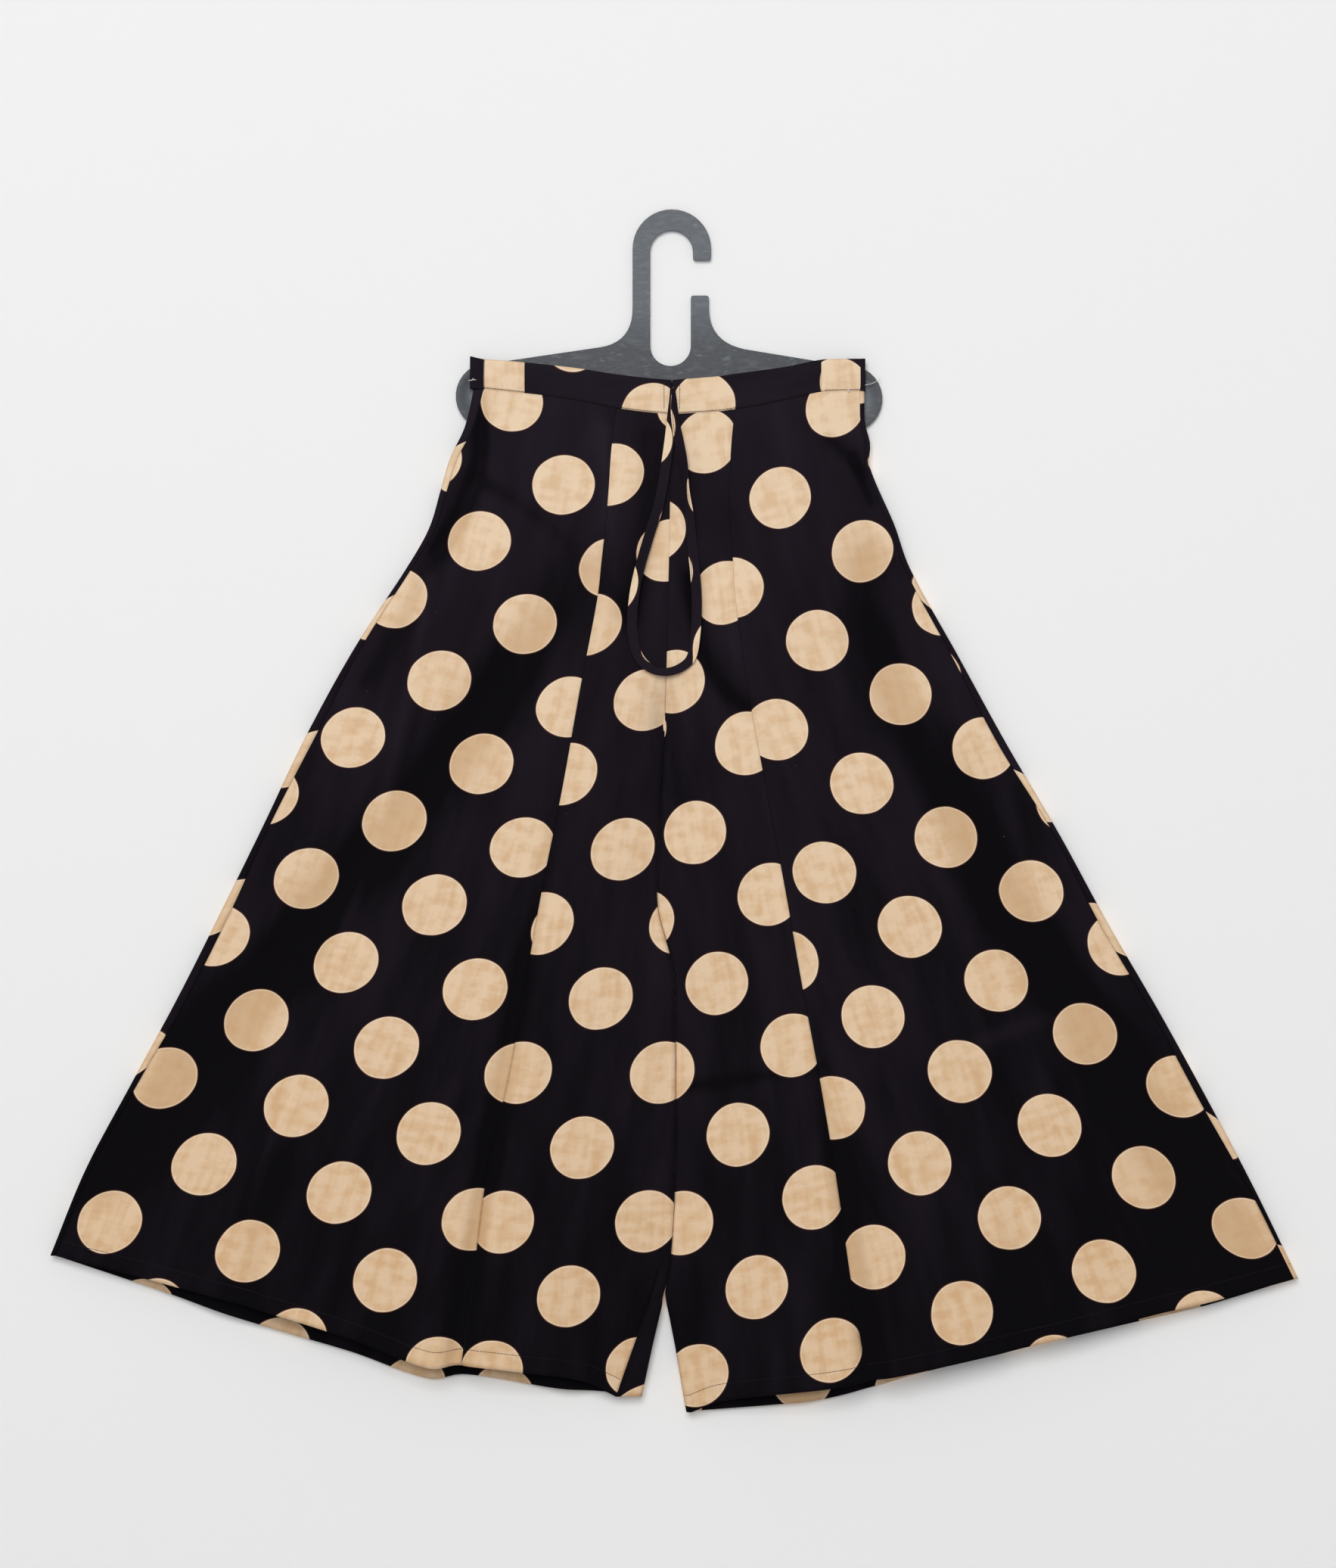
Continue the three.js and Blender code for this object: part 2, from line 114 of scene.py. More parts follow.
def readAt(table, column, place):
    keys = next(iter(table.values()))
    values = table[column]
    slopes = np.empty_like(values)
    slopes[1:-1] = (values[2:] - values[:-2]) / (keys[2:] - keys[:-2])
    slopes[0] = (values[1] - values[0]) / (keys[1] - keys[0])
    slopes[-1] = (values[-1] - values[-2]) / (keys[-1] - keys[-2])
    inside = np.clip(place, keys[0], keys[-1])
    start = np.clip(np.searchsorted(keys, inside, side="right") - 1, 0, len(keys) - 2)
    span = keys[start + 1] - keys[start]
    u = (inside - keys[start]) / span
    ends = values[start] * (1 + 2 * u) * (1 - u) ** 2 + values[start + 1] * u * u * (3 - 2 * u)
    return ends + span * u * (1 - u) * (slopes[start] * (1 - u) - slopes[start + 1] * u)


def mix(a, b, share):
    return a + (b - a) * share


def unit(value):
    return np.clip(value, 0, 1)


def smoothStep(value, low, high):
    share = unit((value - low) / (high - low))
    return share * share * (3 - 2 * share)


# Legs in millimetres, and shares of the way from side to inner edge or from the waist seam down to the hem. The
# inner seams lie at the edge, and come round to the front only where the back shows. The back hem drops below the
# front. The grids are the spacing of the sheets' points, and frontPull draws the front's columns to its seams.
cloth = {
    "thickness": 0.7, "bandThickness": 1.5, "backDepth": 3, "sideDepth": 9, "sideInset": 0.75,
    "seamAcross": 0.62, "leastLip": 0.5, "legClearance": 0.36, "crotchFrom": 0.315, "crotchTo": 0.375,
    "crotchFade": 0.06, "crotchWidth": 13,
    "edgeSeam": 0.4,  # how far round the edge the inner seam lies where it stays there
    "roundShare": 0.8,  # share of the turned cloth that goes round the half circle
    "flatShares": {"frontCentre": 0.88, "backSide": 0.9, "backCentre": 0.8},  # before the turn begins
    "innerStrip": 8, "innerMargin": 0.3, "length": 930, "grid": 4.2, "backGrid": 6, "frontPull": 0.35,
}
sectionNames = ["down", "side", "seam", "seamDepth", "innerDepth", "sideTurn", "innerTurn"]
edgeNames = ["across", "top", "waist", "hem", "drop"]
leftSections = columnsOf(sectionNames, [
    (0, -188, -53, 16, 17, 9, 4),
    (0.045, -197, -58, 17, 17.5, 8, 4),
    (0.08, -210.5, -60, 18, 17.8, 7, 4),
    (0.115, -219, -62.5, 18.9, 18, 6, 4),
    (0.16, -230, -67, 19.9, 18, 5.5, 4),
    (0.2, -248, -71, 21, 18, 5, 4),
    (0.3, -301, -88, 23, 16, 6, 4),
    (0.4, -346, -104, 25, 13, 9, 4),
    (0.5, -385, -122, 27, 12, 6, 4),
    (0.6, -425, -138, 30, 13, 9, 4),
    (0.7, -466, -154, 32, 14, 9, 4),
    (0.8, -510, -174, 34, 14, 6, 4),
    (0.9, -553.5, -186, 36, 12, 5, 12),
    (1, -587, -198, 38, 12, 5, 24),
])
leftEdges = columnsOf(edgeNames, [
    (0, -122.5, -150, -966, 0),
    (0.15, -125, -153.5, -988, 9),
    (0.31, -128.5, -157.5, -1014, 17),
    (0.45, -132, -162, -1040, 17),
    (0.57, -136, -167, -1067.5, 15),
    (0.62, -137.5, -169, -1065.5, 12.5),
    (0.8, -140.5, -172.5, -1074, 15.5),
    (0.916, -142, -174, -1082, 12),
    (1, -143, -175, -1098, 0),
])
rightSections = columnsOf(sectionNames, [
    (0, 181, 58, 16, 17, 4, 4),
    (0.035, 181.5, 55, 16.7, 17.3, 4, 4),
    (0.06, 186.5, 53.8, 17.3, 17.6, 4, 4),
    (0.08, 185.5, 53.4, 17.9, 17.8, 4, 4),
    (0.1, 190.5, 53, 18.5, 18, 4, 4),
    (0.15, 209, 56, 19.8, 18, 4.5, 4),
    (0.2, 224, 59, 21, 18, 5, 4),
    (0.3, 270, 72, 23, 16, 6, 4),
    (0.4, 316, 89, 25, 12, 8, 4),
    (0.5, 365, 106, 27, 10, 5, 4),
    (0.6, 410.5, 122, 30, 9, 8, 4),
    (0.7, 459, 139, 32, 9, 7, 4),
    (0.8, 505, 154, 34, 9, 8, 4),
    (0.9, 549, 167, 36, 10, 5, 4),
    (1, 589.5, 182, 38, 11, 4, 4),
])
rightEdges = columnsOf(edgeNames, [
    (0, -122, -152, -988, 0),
    (0.12, -122.5, -152.5, -1008, 4),
    (0.2, -123.5, -153.5, -1019, 5.5),
    (0.36, -130, -160.5, -1044.5, 4.5),
    (0.54, -135, -168, -1070.5, 6.5),
    (0.62, -137, -170, -1080.6, 11),
    (0.7, -139, -172, -1087, 13.5),
    (0.826, -140.7, -173.3, -1094, 13),
    (0.94, -142.2, -174.4, -1102, 9),
    (1, -143, -175, -1113, 0),
])
legs = {
    "Left": {
        "outward": -1, "parting": "leftParting", "backShows": (0.84, 0.87),
        "sections": leftSections, "edges": leftEdges,
    },
    "Right": {
        "outward": 1, "parting": "rightParting", "backShows": (1.1, 1.2),
        "sections": rightSections, "edges": rightEdges,
    },
}
# The line where the legs meet, and how far each inner edge parts from it near the hem
centreLine = columnsOf(["height", "x", "leftParting", "rightParting"], [
    (-1120, -7.7, 26, 21.5),
    (-1100, -7.7, 21.8, 18),
    (-1053, -7.7, 11.8, 10),
    (-1026, -7.7, 5.5, 4.8),
    (-1000, -7.2, 0, 0),
    (-964, -1.8, 0, 0),
    (-890, 2, 0, 0),
    (-730, 2, 0, 0),
    (-690, -1, 0, 0),
    (-640, -14, 0, 0),
    (-596, -14, 0, 0),
    (-450, -7, 0, 0),
    (-175, -1, 0, 0),
])

# Folds: three points of each as x and height, half its width, and its depth at the start and the end
foldNames = ["x1", "z1", "x2", "z2", "x3", "z3", "halfWidth", "depth", "endDepth"]
frontFolds = rowsOf(foldNames, [
    (-84, -327, -262, -560, -537, -890, 28, -5, -9),
    (-87, -449, -146, -728, -207, -1085, 11, -1, -9),
    (-14, -198, -26, -280, -43, -360, 15, -3, -5),
    (-187, -235, -232, -330, -286, -426, 12, -3, -3),
    (-364, -800, -384, -890, -400, -1010, 16, -1, -4),
    (185, -316, 251, -522, 546, -979, 26, -5, -8),
    (133, -740, 156, -890, 190, -1095, 11, -1, -8),
    (20, -330, 34, -400, 68, -450, 14, -4, -3),
    (300, -900, 318, -980, 330, -1060, 18, -1, -5),
])
frontCreases = rowsOf(foldNames, [
    (-228, -330, -270, -526, -316, -674, 6, 1.2, 0.8),
    (-364, -821, -384, -880, -393, -926, 5, 1, 0.6),
    (-185, -154, -187, -235, -220, -302, 9, -2.5, -2),
    (-183, -236, -146, -258, -98, -296, 7, -1.5, -0.4),
    (148, -198, 165, -214, 178, -228, 7, -1.6, -1),
    (19, -330, 30, -404, 67, -449, 8, -1.5, -0.8),
    (8, -808, 75, -797, 141, -786, 6, -1.2, -0.6),
    (288, -764, 336, -747, 384, -731, 8, 1, 0.5),
    (170, -213, 176, -232, 186, -257, 5, -1.5, -1),
    (-189, -166, -179, -205, -188, -238, 5, -2.2, -2),
    (-66, -190, -60, -260, -52, -330, 9, 1.2, 0.5),
])
backFolds = rowsOf(foldNames, [
    (-60, -300, -190, -600, -420, -1000, 30, 3, 8),
    (-40, -560, -80, -800, -100, -1090, 22, 2, 7),
    (60, -300, 230, -640, 470, -980, 30, 3, 8),
    (45, -560, 90, -800, 120, -1090, 22, 2, 7),
])
foldSteps = 81  # points that the way along a fold is read at

# Slack in the cloth, as long shallow waves: size of a wave across and down, height and seed. The heights come from
# a random tile that repeats.
slack = {"across": 58, "down": 130, "height": 0.9, "seed": 11}
crumple = {"across": 19, "down": 27, "height": 0.22, "seed": 12}
waveTile = {"size": 64, "startX": 32, "startZ": 60}
# What creases and slack count for in the shade, and the depth that is shaded in full
shading = {"crease": 3, "slack": 1.6, "full": 5}


def foldDepth(folds, x, z):
    depth = np.zeros_like(x)
    for fold in folds:
        middleX = 2 * fold["x2"] - (fold["x1"] + fold["x3"]) / 2
        middleZ = 2 * fold["z2"] - (fold["z1"] + fold["z3"]) / 2
        nearest = np.full_like(x, np.inf)
        progress = np.zeros_like(x)
        for along in np.linspace(0, 1, foldSteps):
            a, b, c = (1 - along) ** 2, 2 * along * (1 - along), along ** 2
            lineX = a * fold["x1"] + b * middleX + c * fold["x3"]
            lineZ = a * fold["z1"] + b * middleZ + c * fold["z3"]
            distance = np.hypot(x - lineX, z - lineZ)
            closer = distance < nearest
            nearest = np.where(closer, distance, nearest)
            progress = np.where(closer, along, progress)
        full = mix(fold["depth"], fold["endDepth"], progress)
        depth += full * np.exp(-(nearest / fold["halfWidth"]) ** 2)
    return depth


def waves(kind, x, z):
    size = waveTile["size"]
    values = np.random.default_rng(kind["seed"]).uniform(-1, 1, (size, size))
    gridX = x / kind["across"] + waveTile["startX"]
    gridZ = z / kind["down"] + waveTile["startZ"]
    lowX, lowZ = np.floor(gridX).astype(int), np.floor(gridZ).astype(int)
    shareX, shareZ = smoothStep(gridX - lowX, 0, 1), smoothStep(gridZ - lowZ, 0, 1)
    near, far = (
        mix(values[lowX % size, row % size], values[(lowX + 1) % size, row % size], shareX)
        for row in (lowZ, lowZ + 1)
    )
    return kind["height"] * mix(near, far, shareZ)


def shadeOf(folds, creases, x, z):
    # From -1 in a deep fold to 1 on a ridge, for the painted shade in the folds and the painted light on the
    # ridges
    small = shading["crease"] * foldDepth(creases, x, z) + shading["slack"] * waves(slack, x, z)
    return np.clip((foldDepth(folds, x, z) + small) / shading["full"], -1, 1)


def turned(down):
    return smoothStep(down, cloth["crotchFrom"], cloth["crotchTo"])


def heightAt(leg, across, down):
    return mix(readAt(leg["edges"], "waist", across), readAt(leg["edges"], "hem", across), down)


def levelOf(leg, down):
    # What the legs measure at each level down
    outward = leg["outward"]
    innerHeight = heightAt(leg, np.ones_like(down), down)
    parting = readAt(centreLine, leg["parting"], innerHeight)
    now = {name: readAt(leg["sections"], name, down) for name in sectionNames[1:]}
    now["side"] = now["side"] - outward * cloth["sideInset"]
    parting = parting + cloth["legClearance"] * turned(down)
    now["inner"] = readAt(centreLine, "x", innerHeight) + outward * parting
    now["sideRadius"] = (cloth["sideDepth"] - cloth["backDepth"]) / 2 + np.zeros_like(down)
    now["innerRadius"] = (now["innerDepth"] - cloth["backDepth"]) / 2
    dipped = (1 - turned(down)) * smoothStep(down, cloth["crotchFrom"] - cloth["crotchFade"], cloth["crotchFrom"])
    now["crotchDip"] = dipped * (now["innerDepth"] - cloth["backDepth"])
    for edge in ("side", "inner"):
        now[edge + "Turn"] = np.maximum(now[edge + "Turn"], now[edge + "Radius"] + cloth["leastLip"])
    now["sideSeam"] = now["side"] - outward * now["sideTurn"]
    now["innerSeam"] = mix(cloth["edgeSeam"], 1, smoothStep(down, *leg["backShows"]))
    return now


def frontDepthAt(now, across):
    seamAcross = cloth["seamAcross"]
    outer = mix(cloth["sideDepth"], now["seamDepth"], np.sin(math.pi / 2 * unit(across / seamAcross)))
    inward = unit((across - seamAcross) / (1 - seamAcross))
    inner = mix(now["innerDepth"], now["seamDepth"], np.cos(math.pi / 2 * inward))
    return np.where(across <= seamAcross, outer, inner)


# Where folds, creases and slack fade out: before the side edge, below the waist seam and before the inner edge
fades = {
    "folds": (0.14, 0.05, 0.88), "creases": (0.03, 0.02, 0.97), "slack": (0.06, 0.03, 0.95),
    "back": (0.16, 0.1, 0.84),
}


def fadeOf(kind, across, down, inner=1):
    fromSide, fromTop, toInner = fades[kind]
    start = smoothStep(across, 0, fromSide) * smoothStep(down, 0, fromTop)
    return start * (1 - inner * smoothStep(across, toInner, 1))


def frontPoints(leg, now, across, x, down):
    z = heightAt(leg, across, down)
    depth = frontDepthAt(now, across) + foldDepth(frontFolds, x, z) * fadeOf("folds", across, down, turned(down))
    depth = depth + foldDepth(frontCreases, x, z) * fadeOf("creases", across, down)
    return x, depth + (waves(slack, x, z) + waves(crumple, x, z)) * fadeOf("slack", across, down), z


def backPoints(leg, across, x, down, depth):
    z = heightAt(leg, across, down) - readAt(leg["edges"], "drop", across) * down ** 2
    return x, depth + (foldDepth(backFolds, x, z) + waves(slack, x, z)) * fadeOf("back", across, down), z


# The sewn seams: cloth dips towards the seam over this distance, and less at the side seam and on the back
seam = {"dip": 0.9, "reach": 2.2, "sideShare": 0.6, "backShare": 0.8}


def dipAt(distance):
    return seam["dip"] * np.exp(-(distance / seam["reach"]) ** 2)


def frontSide(leg, s, down):
    now = levelOf(leg, down)
    x = mix(now["sideSeam"], now["seam"], s)
    x, depth, z = frontPoints(leg, now, cloth["seamAcross"] * s, x, down)
    depth = depth - dipAt(x - now["sideSeam"]) * seam["sideShare"] - dipAt(x - now["seam"])
    return x, depth, z, x


def turnAt(share, edge, inward, radius, reach):
    # The first part goes round the half circle, and the rest along the front to the seam
    roundShare = cloth["roundShare"]
    angle = math.pi * unit(share / roundShare) - math.pi / 2
    lip = unit((share - roundShare) / (1 - roundShare))
    around = edge + inward * radius * (1 - np.cos(angle))
    x = mix(around, edge + inward * reach, lip)
    depth = cloth["backDepth"] + radius * (1 + np.sin(angle))
    unrolled = edge - inward * (radius * angle + lip * (reach - radius) + (radius * math.pi / 2 - radius))
    return x, depth, unrolled


def frontCentre(leg, s, down):
    now = levelOf(leg, down)
    rolled = turned(down)
    flatShare, seamAcross = cloth["flatShares"]["frontCentre"], cloth["seamAcross"]
    outward = leg["outward"]
    end = now["inner"] + outward * now["innerTurn"] * rolled
    share = mix(1, now["innerSeam"], unit((s - flatShare) / (1 - flatShare)))
    turnX, turnDepth = turnAt(share, now["inner"], outward, now["innerRadius"], now["innerTurn"])[:2]
    onFlat = s <= flatShare
    flatX = mix(now["seam"], end, unit(s / flatShare))
    flatAcross = unit(mix(seamAcross, 1, s / flatShare))
    x = mix(mix(now["seam"], now["inner"], s), np.where(onFlat, flatX, turnX), rolled)
    x, depth, z = frontPoints(leg, now, mix(mix(seamAcross, 1, s), flatAcross, rolled), x, down)
    depth = depth - dipAt(x - now["seam"]) - dipAt(x - now["inner"]) * (1 - rolled)
    depth = depth - now["crotchDip"] * np.exp(-((x - end) / cloth["crotchWidth"]) ** 2)
    return x, np.where(onFlat, depth, mix(depth, turnDepth, rolled)), z, x


def backSide(leg, s, down):
    now = levelOf(leg, down)
    flatShare = cloth["flatShares"]["backSide"]
    inward = -leg["outward"]
    share = unit((s - flatShare) / (1 - flatShare))
    turnX, turnDepth, unrolled = turnAt(share, now["side"], inward, now["sideRadius"], now["sideTurn"])
    flatEnd = now["side"] + inward * now["sideRadius"]
    flat = unit(s / flatShare)
    onFlat = s <= flatShare
    x = np.where(onFlat, mix(now["seam"], flatEnd, flat), turnX)
    across = np.where(onFlat, cloth["seamAcross"] * (1 - flat), 0)
    depth = np.where(onFlat, cloth["backDepth"], turnDepth)
    x, depth, z = backPoints(leg, across, x, down, depth)
    return x, depth + dipAt(x - now["seam"]) * onFlat * seam["backShare"], z, np.where(onFlat, x, unrolled)


def backCentre(leg, s, down):
    now = levelOf(leg, down)
    rolled = turned(down)
    outward = leg["outward"]
    flatShare, seamAcross = cloth["flatShares"]["backCentre"], cloth["seamAcross"]
    strip, margin = cloth["innerStrip"], cloth["innerMargin"]
    span = np.abs(now["seam"] - now["inner"])
    progress = unit((s - flatShare) / (1 - flatShare))
    turnX, turnDepth, unrolled = turnAt(
        progress * now["innerSeam"], now["inner"], outward, now["innerRadius"], now["innerTurn"],
    )
    inset = strip * (1 - progress) ** 2 + margin * (1 - progress)
    edgeX = mix(now["inner"] + outward * inset, turnX, rolled)
    edgeAcross = mix(1 - (1 - seamAcross) * inset / span, 1, rolled)
    firstX = mix(now["inner"] + outward * (strip + margin), now["inner"] + outward * now["innerRadius"], rolled)
    firstAcross = mix(1 - (1 - seamAcross) * (strip + margin) / span, 1, rolled)
    flat = unit(s / flatShare)
    onFlat = s <= flatShare
    x = np.where(onFlat, mix(now["seam"], firstX, flat), edgeX)
    across = np.where(onFlat, mix(seamAcross, firstAcross, flat), edgeAcross)
    depth = np.where(onFlat, cloth["backDepth"], mix(cloth["backDepth"], turnDepth, rolled))
    x, depth, z = backPoints(leg, across, x, down, depth)
    plain = np.where(onFlat, x, mix(x, unrolled, rolled))
    return x, depth + dipAt(x - now["seam"]) * onFlat * seam["backShare"], z, plain


# Cloth print in millimetres: the place of one dot, the turn of its row, stretch and skew of the cloth there, and
# how the rows spread (fan, swell), curve (bow, curl) and bunch (lift) downwards, the last three in tenths of a
# metre for one metre. The last five are 0 where a row leaves them out.
printNames = ["x", "z", "angle", "across", "along", "skew", "fan", "swell", "bow", "curl", "lift"]
prints = {name: dict(zip(printNames, (*row, 0, 0, 0, 0, 0))) for name, row in {
    "frontSideLeft": (-223.4, -635.2, -18.6, 0.987, 0.996, 0.125, 0.05, -0.4, 0.16, -1.15, -0.4),
    "frontCentreLeft": (-67.6, -722.9, -7.9, 0.925, 0.99, 0.13, 0.12, 0, -0.67, -1, 0.09),
    "frontCentreRight": (41.3, -708.9, 8.2, 0.995, 0.976, 0.071, 0.12, 0, 0.2, 0.85, -0.02),
    "frontSideRight": (222, -655.6, 18.9, 1.012, 0.98, -0.051, 0.1, -0.8, -0.29, 1.2, -0.35),
    "backSideLeft": (-371.9, -1053.1, -20.6, 0.913, 0.902, 0.075, 0, 0, 0.01, 0.56, -0.14),
    "backCentreLeft": (-25, -1115, 3.2, 0.917, 1.134, -0.2),
    "backCentreRight": (121, -1081, 8, 1, 1, 0),
    "backSideRight": (344.2, -1057.2, 18.9, 0.934, 0.969, -0.035, 0, 0, 0.165, -0.318, -0.116),
    "waistbandFrontLeft": (-19.6, -175, 87.9, 0.907, 0.907, 0),
    "waistbandFrontRight": (29.5, -165.4, -81, 1, 1, 0),
    "waistbandWrapLeft": (-157, -138, 0, 1, 1, 0),
    "waistbandWrapRight": (155.4, -150.4, 0, 1, 1, 0),
    "waistbandBack": (75, -150, 0, 0.75, 1, 0),
}.items()}


def printPlace(values, x, z):
    # Place on the cloth in metres, and how far the cloth is stretched there
    tenth = 100
    angle = math.radians(values["angle"])
    across = (x - values["x"]) * math.cos(angle) + (z - values["z"]) * math.sin(angle)
    along = (x - values["x"]) * math.sin(angle) - (z - values["z"]) * math.cos(angle)
    metres = along * mm
    stretch = values["across"] * (1 - values["fan"] * metres + values["swell"] * metres ** 2)
    u = stretch * across + tenth * (values["bow"] * metres ** 2 + values["curl"] * metres ** 3)
    v = values["along"] * along + values["skew"] * across + tenth * values["lift"] * metres ** 2
    return u * mm, v * mm, stretch, values["along"] + 0 * x


def gridSheet(title, columns, rows, place, flip):
    # A grid of quads from bmesh, its points then laid on the surface that place gives for shares across and down
    bm = bmesh.new()
    bmesh.ops.create_grid(bm, x_segments=columns, y_segments=rows, size=0.5)
    if flip:
        bmesh.ops.reverse_faces(bm, faces=bm.faces)
    mesh = meshOf(title, bm)
    count = len(mesh.vertices)
    flat = np.empty(count * 3)
    mesh.vertices.foreach_get("co", flat)
    flat = flat.reshape(-1, 3)
    s = unit(flat[:, 0] + 0.5)
    down = unit(0.5 - flat[:, 1])
    x, depth, z, *cloths = place(s, down)
    mesh.vertices.foreach_set("co", (np.stack([x, -depth, z], 1) * mm).ravel())
    corners = np.empty(len(mesh.loops), int)
    mesh.loops.foreach_get("vertex_index", corners)
    for name, pair in (("clothPlace", cloths[:2]), ("clothStretch", cloths[2:4]), ("clothShade", cloths[4:])):
        layer = mesh.uv_layers.new(name=name)
        layer.data.foreach_set("uv", np.stack([values[corners] for values in pair], 1).ravel())
    mesh.polygons.foreach_set("use_smooth", [True] * len(mesh.polygons))
    mesh.update()
    return addObject(title, mesh)


def sharesNearEnds(s, pull):
    # Moves columns towards both ends, where the seams need them
    return s - pull * np.sin(2 * math.pi * s) / (2 * math.pi)


# Printed cotton: plain weave of about 0.4 mm threads, discharge printed with beige dots on black. The weave is
# drawn at 1.1 mm to show. Matt, with a faint sheen from loose fibres.
# The paler black stands for painted light on ridges and near the waist; the fold tan is painted shade in folds.
cottonPrint = {
    "deepBlack": "#08060a", "napAndLitBlack": "#231c25", "beige": "#e8cfb1", "tan": "#d3ae86", "foldShadeTan": "#c6a27b",
    "rim": "#f0e0c9", "rust": "#5e3018", "lint": "#6a6266", "acrossPitch": 121, "alongPitch": 139.5,
    "radius": 29.4, "wobble": 1.3, "weave": 1.1, "weaveHeight": 0.12, "roughness": 0.86,
}


def makeCotton(name):
    material, tree, shader = newMaterial(name, {
        "Roughness": cottonPrint["roughness"],
        "Specular IOR Level": 0.06,
        "Sheen Weight": 0.012,
        "Sheen Roughness": 0.5,
    })
    place = addNode(tree, "UVMap", {"uv_map": "clothPlace"})["UV"]
    stretched = addNode(tree, "UVMap", {"uv_map": "clothStretch"})["UV"]
    shadeMap = addNode(tree, "UVMap", {"uv_map": "clothShade"})["UV"]
    shades = addNode(tree, "SeparateXYZ", links={"Vector": shadeMap})
    shade, lower = shades["X"], shades["Y"]

    # Distance from the middle of the nearest dot, wandering a little as a printed edge does
    wobbleNoise = addNode(tree, "TexNoise", values={"Scale": 26, "Detail": 2}, links={"Vector": place})
    wobble = addNode(
        tree, "Math", {"operation": "MULTIPLY_ADD"},
        {1: cottonPrint["wobble"] * 2 * mm, 2: -cottonPrint["wobble"] * mm}, {0: wobbleNoise["Fac"]},
    )[0]
    stretch = addNode(tree, "VectorMath", {"operation": "ADD"}, {1: [0, 0, 1]}, {0: stretched})[0]
    half = [cottonPrint["acrossPitch"] * mm / 2, cottonPrint["alongPitch"] * mm / 2, 0]
    distances = []
    for shift in ([0, 0, 0], half):
        moved = addNode(tree, "VectorMath", {"operation": "ADD"}, {1: shift}, {0: place})[0]
        wrapped = addNode(
            tree, "VectorMath", {"operation": "WRAP"}, {1: half, 2: [-half[0], -half[1], -1]}, {0: moved},
        )[0]
        flat = addNode(tree, "VectorMath", {"operation": "MULTIPLY"}, {1: [1, 1, 0]}, {0: wrapped})[0]
        real = addNode(tree, "VectorMath", {"operation": "DIVIDE"}, links={0: flat, 1: stretch})[0]
        distances.append(addNode(tree, "VectorMath", {"operation": "LENGTH"}, links={0: real})["Value"])
    nearest = addNode(tree, "Math", {"operation": "MINIMUM"}, links={0: distances[0], 1: distances[1]})[0]
    reach = addNode(tree, "Math", {"operation": "ADD"}, links={0: nearest, 1: wobble})[0]
    radius = cottonPrint["radius"]
    inside = {}
    for part, (start, end, *ends) in {
        "dot": (radius - 0.5, radius + 0.3, 1, 0),
        "rim": (radius - 1.8, radius - 0.8, 0, 0.4),
        "rust": (radius + 0.2, radius + 1.2, 0.55, 0),
    }.items():
        inside[part] = addNode(
            tree, "MapRange", {"interpolation_type": "SMOOTHSTEP"},
            dict(zip(rangeNames, (start * mm, end * mm, *ends))), {"Value": reach},
        )["Result"]

    # Noise drawn out along or across the threads. Two make the slubs, thicker warp and weft threads that are tan
    # where the discharge paste took less, and one the nap.
    drawn = []
    for scale, detail in (((110, 20), 2), ((45, 95), 2), ((34, 8), 4)):
        longPlace = addNode(tree, "Mapping", values={"Scale": (*scale, 1)}, links={"Vector": place})["Vector"]
        drawn.append(addNode(
            tree, "TexNoise", values={"Scale": 1, "Detail": detail, "Roughness": 0.55},
            links={"Vector": longPlace},
        )["Fac"])
    slubs = addNode(tree, "Math", {"operation": "ADD"}, links={0: drawn[0], 1: drawn[1]})[0]
    lint = addNode(tree, "TexVoronoi", values={"Scale": 38}, links={"Vector": place})

    # Shares: what each is read from, from where to where, and its share at both ends. The beige is painted darker
    # towards the hem and in the folds, a painted shade. The black is painted paler on ridges and near the waist, a
    # painted light, and stays deep in the folds and lower down, a painted shade; the nap varies it at random.
    shares = {}
    for part, (source, *numbers) in {
        "slubs": (slubs, 0.88, 1.24, 0, 0.6),
        "lowShade": (lower, 0.1, 1, 0.05, 0.5),
        "folds": (shade, -0.1, -1, 0, 0.7),
        "nap": (drawn[2], 0.3, 0.7, -0.2, 0.2),
        "height": (lower, 0, 1, 0.22, -0.38),
        "ridges": (shade, -1, 1, -0.1, 1),
        "lintSpot": (lint["Distance"], 0.012, 0.02, 1, 0),
        "lintAmount": (lint["Color"], 0.5, 0.7, 0, 0.7),
    }.items():
        values = dict(zip(rangeNames, numbers))
        shares[part] = addNode(tree, "MapRange", values=values, links={"Value": source})["Result"]
    # The slubs and nap mixed with painted shade towards the hem and in folds and painted light on ridges
    napAndHeightShade = addNode(tree, "Math", {"operation": "ADD"}, links={0: shares["nap"], 1: shares["height"]})[0]
    slubsAndLowShade, napAndPaintedLight = (addNode(
        tree, "Math", {"operation": "ADD", "use_clamp": True}, links={0: first, 1: second},
    )[0] for first, second in ((shares["slubs"], shares["lowShade"]), (shares["ridges"], napAndHeightShade)))
    inLint = addNode(
        tree, "Math", {"operation": "MULTIPLY"}, links={0: shares["lintSpot"], 1: shares["lintAmount"]},
    )[0]

    # The black ground and the dots, each a base with colours laid over it
    grounds = []
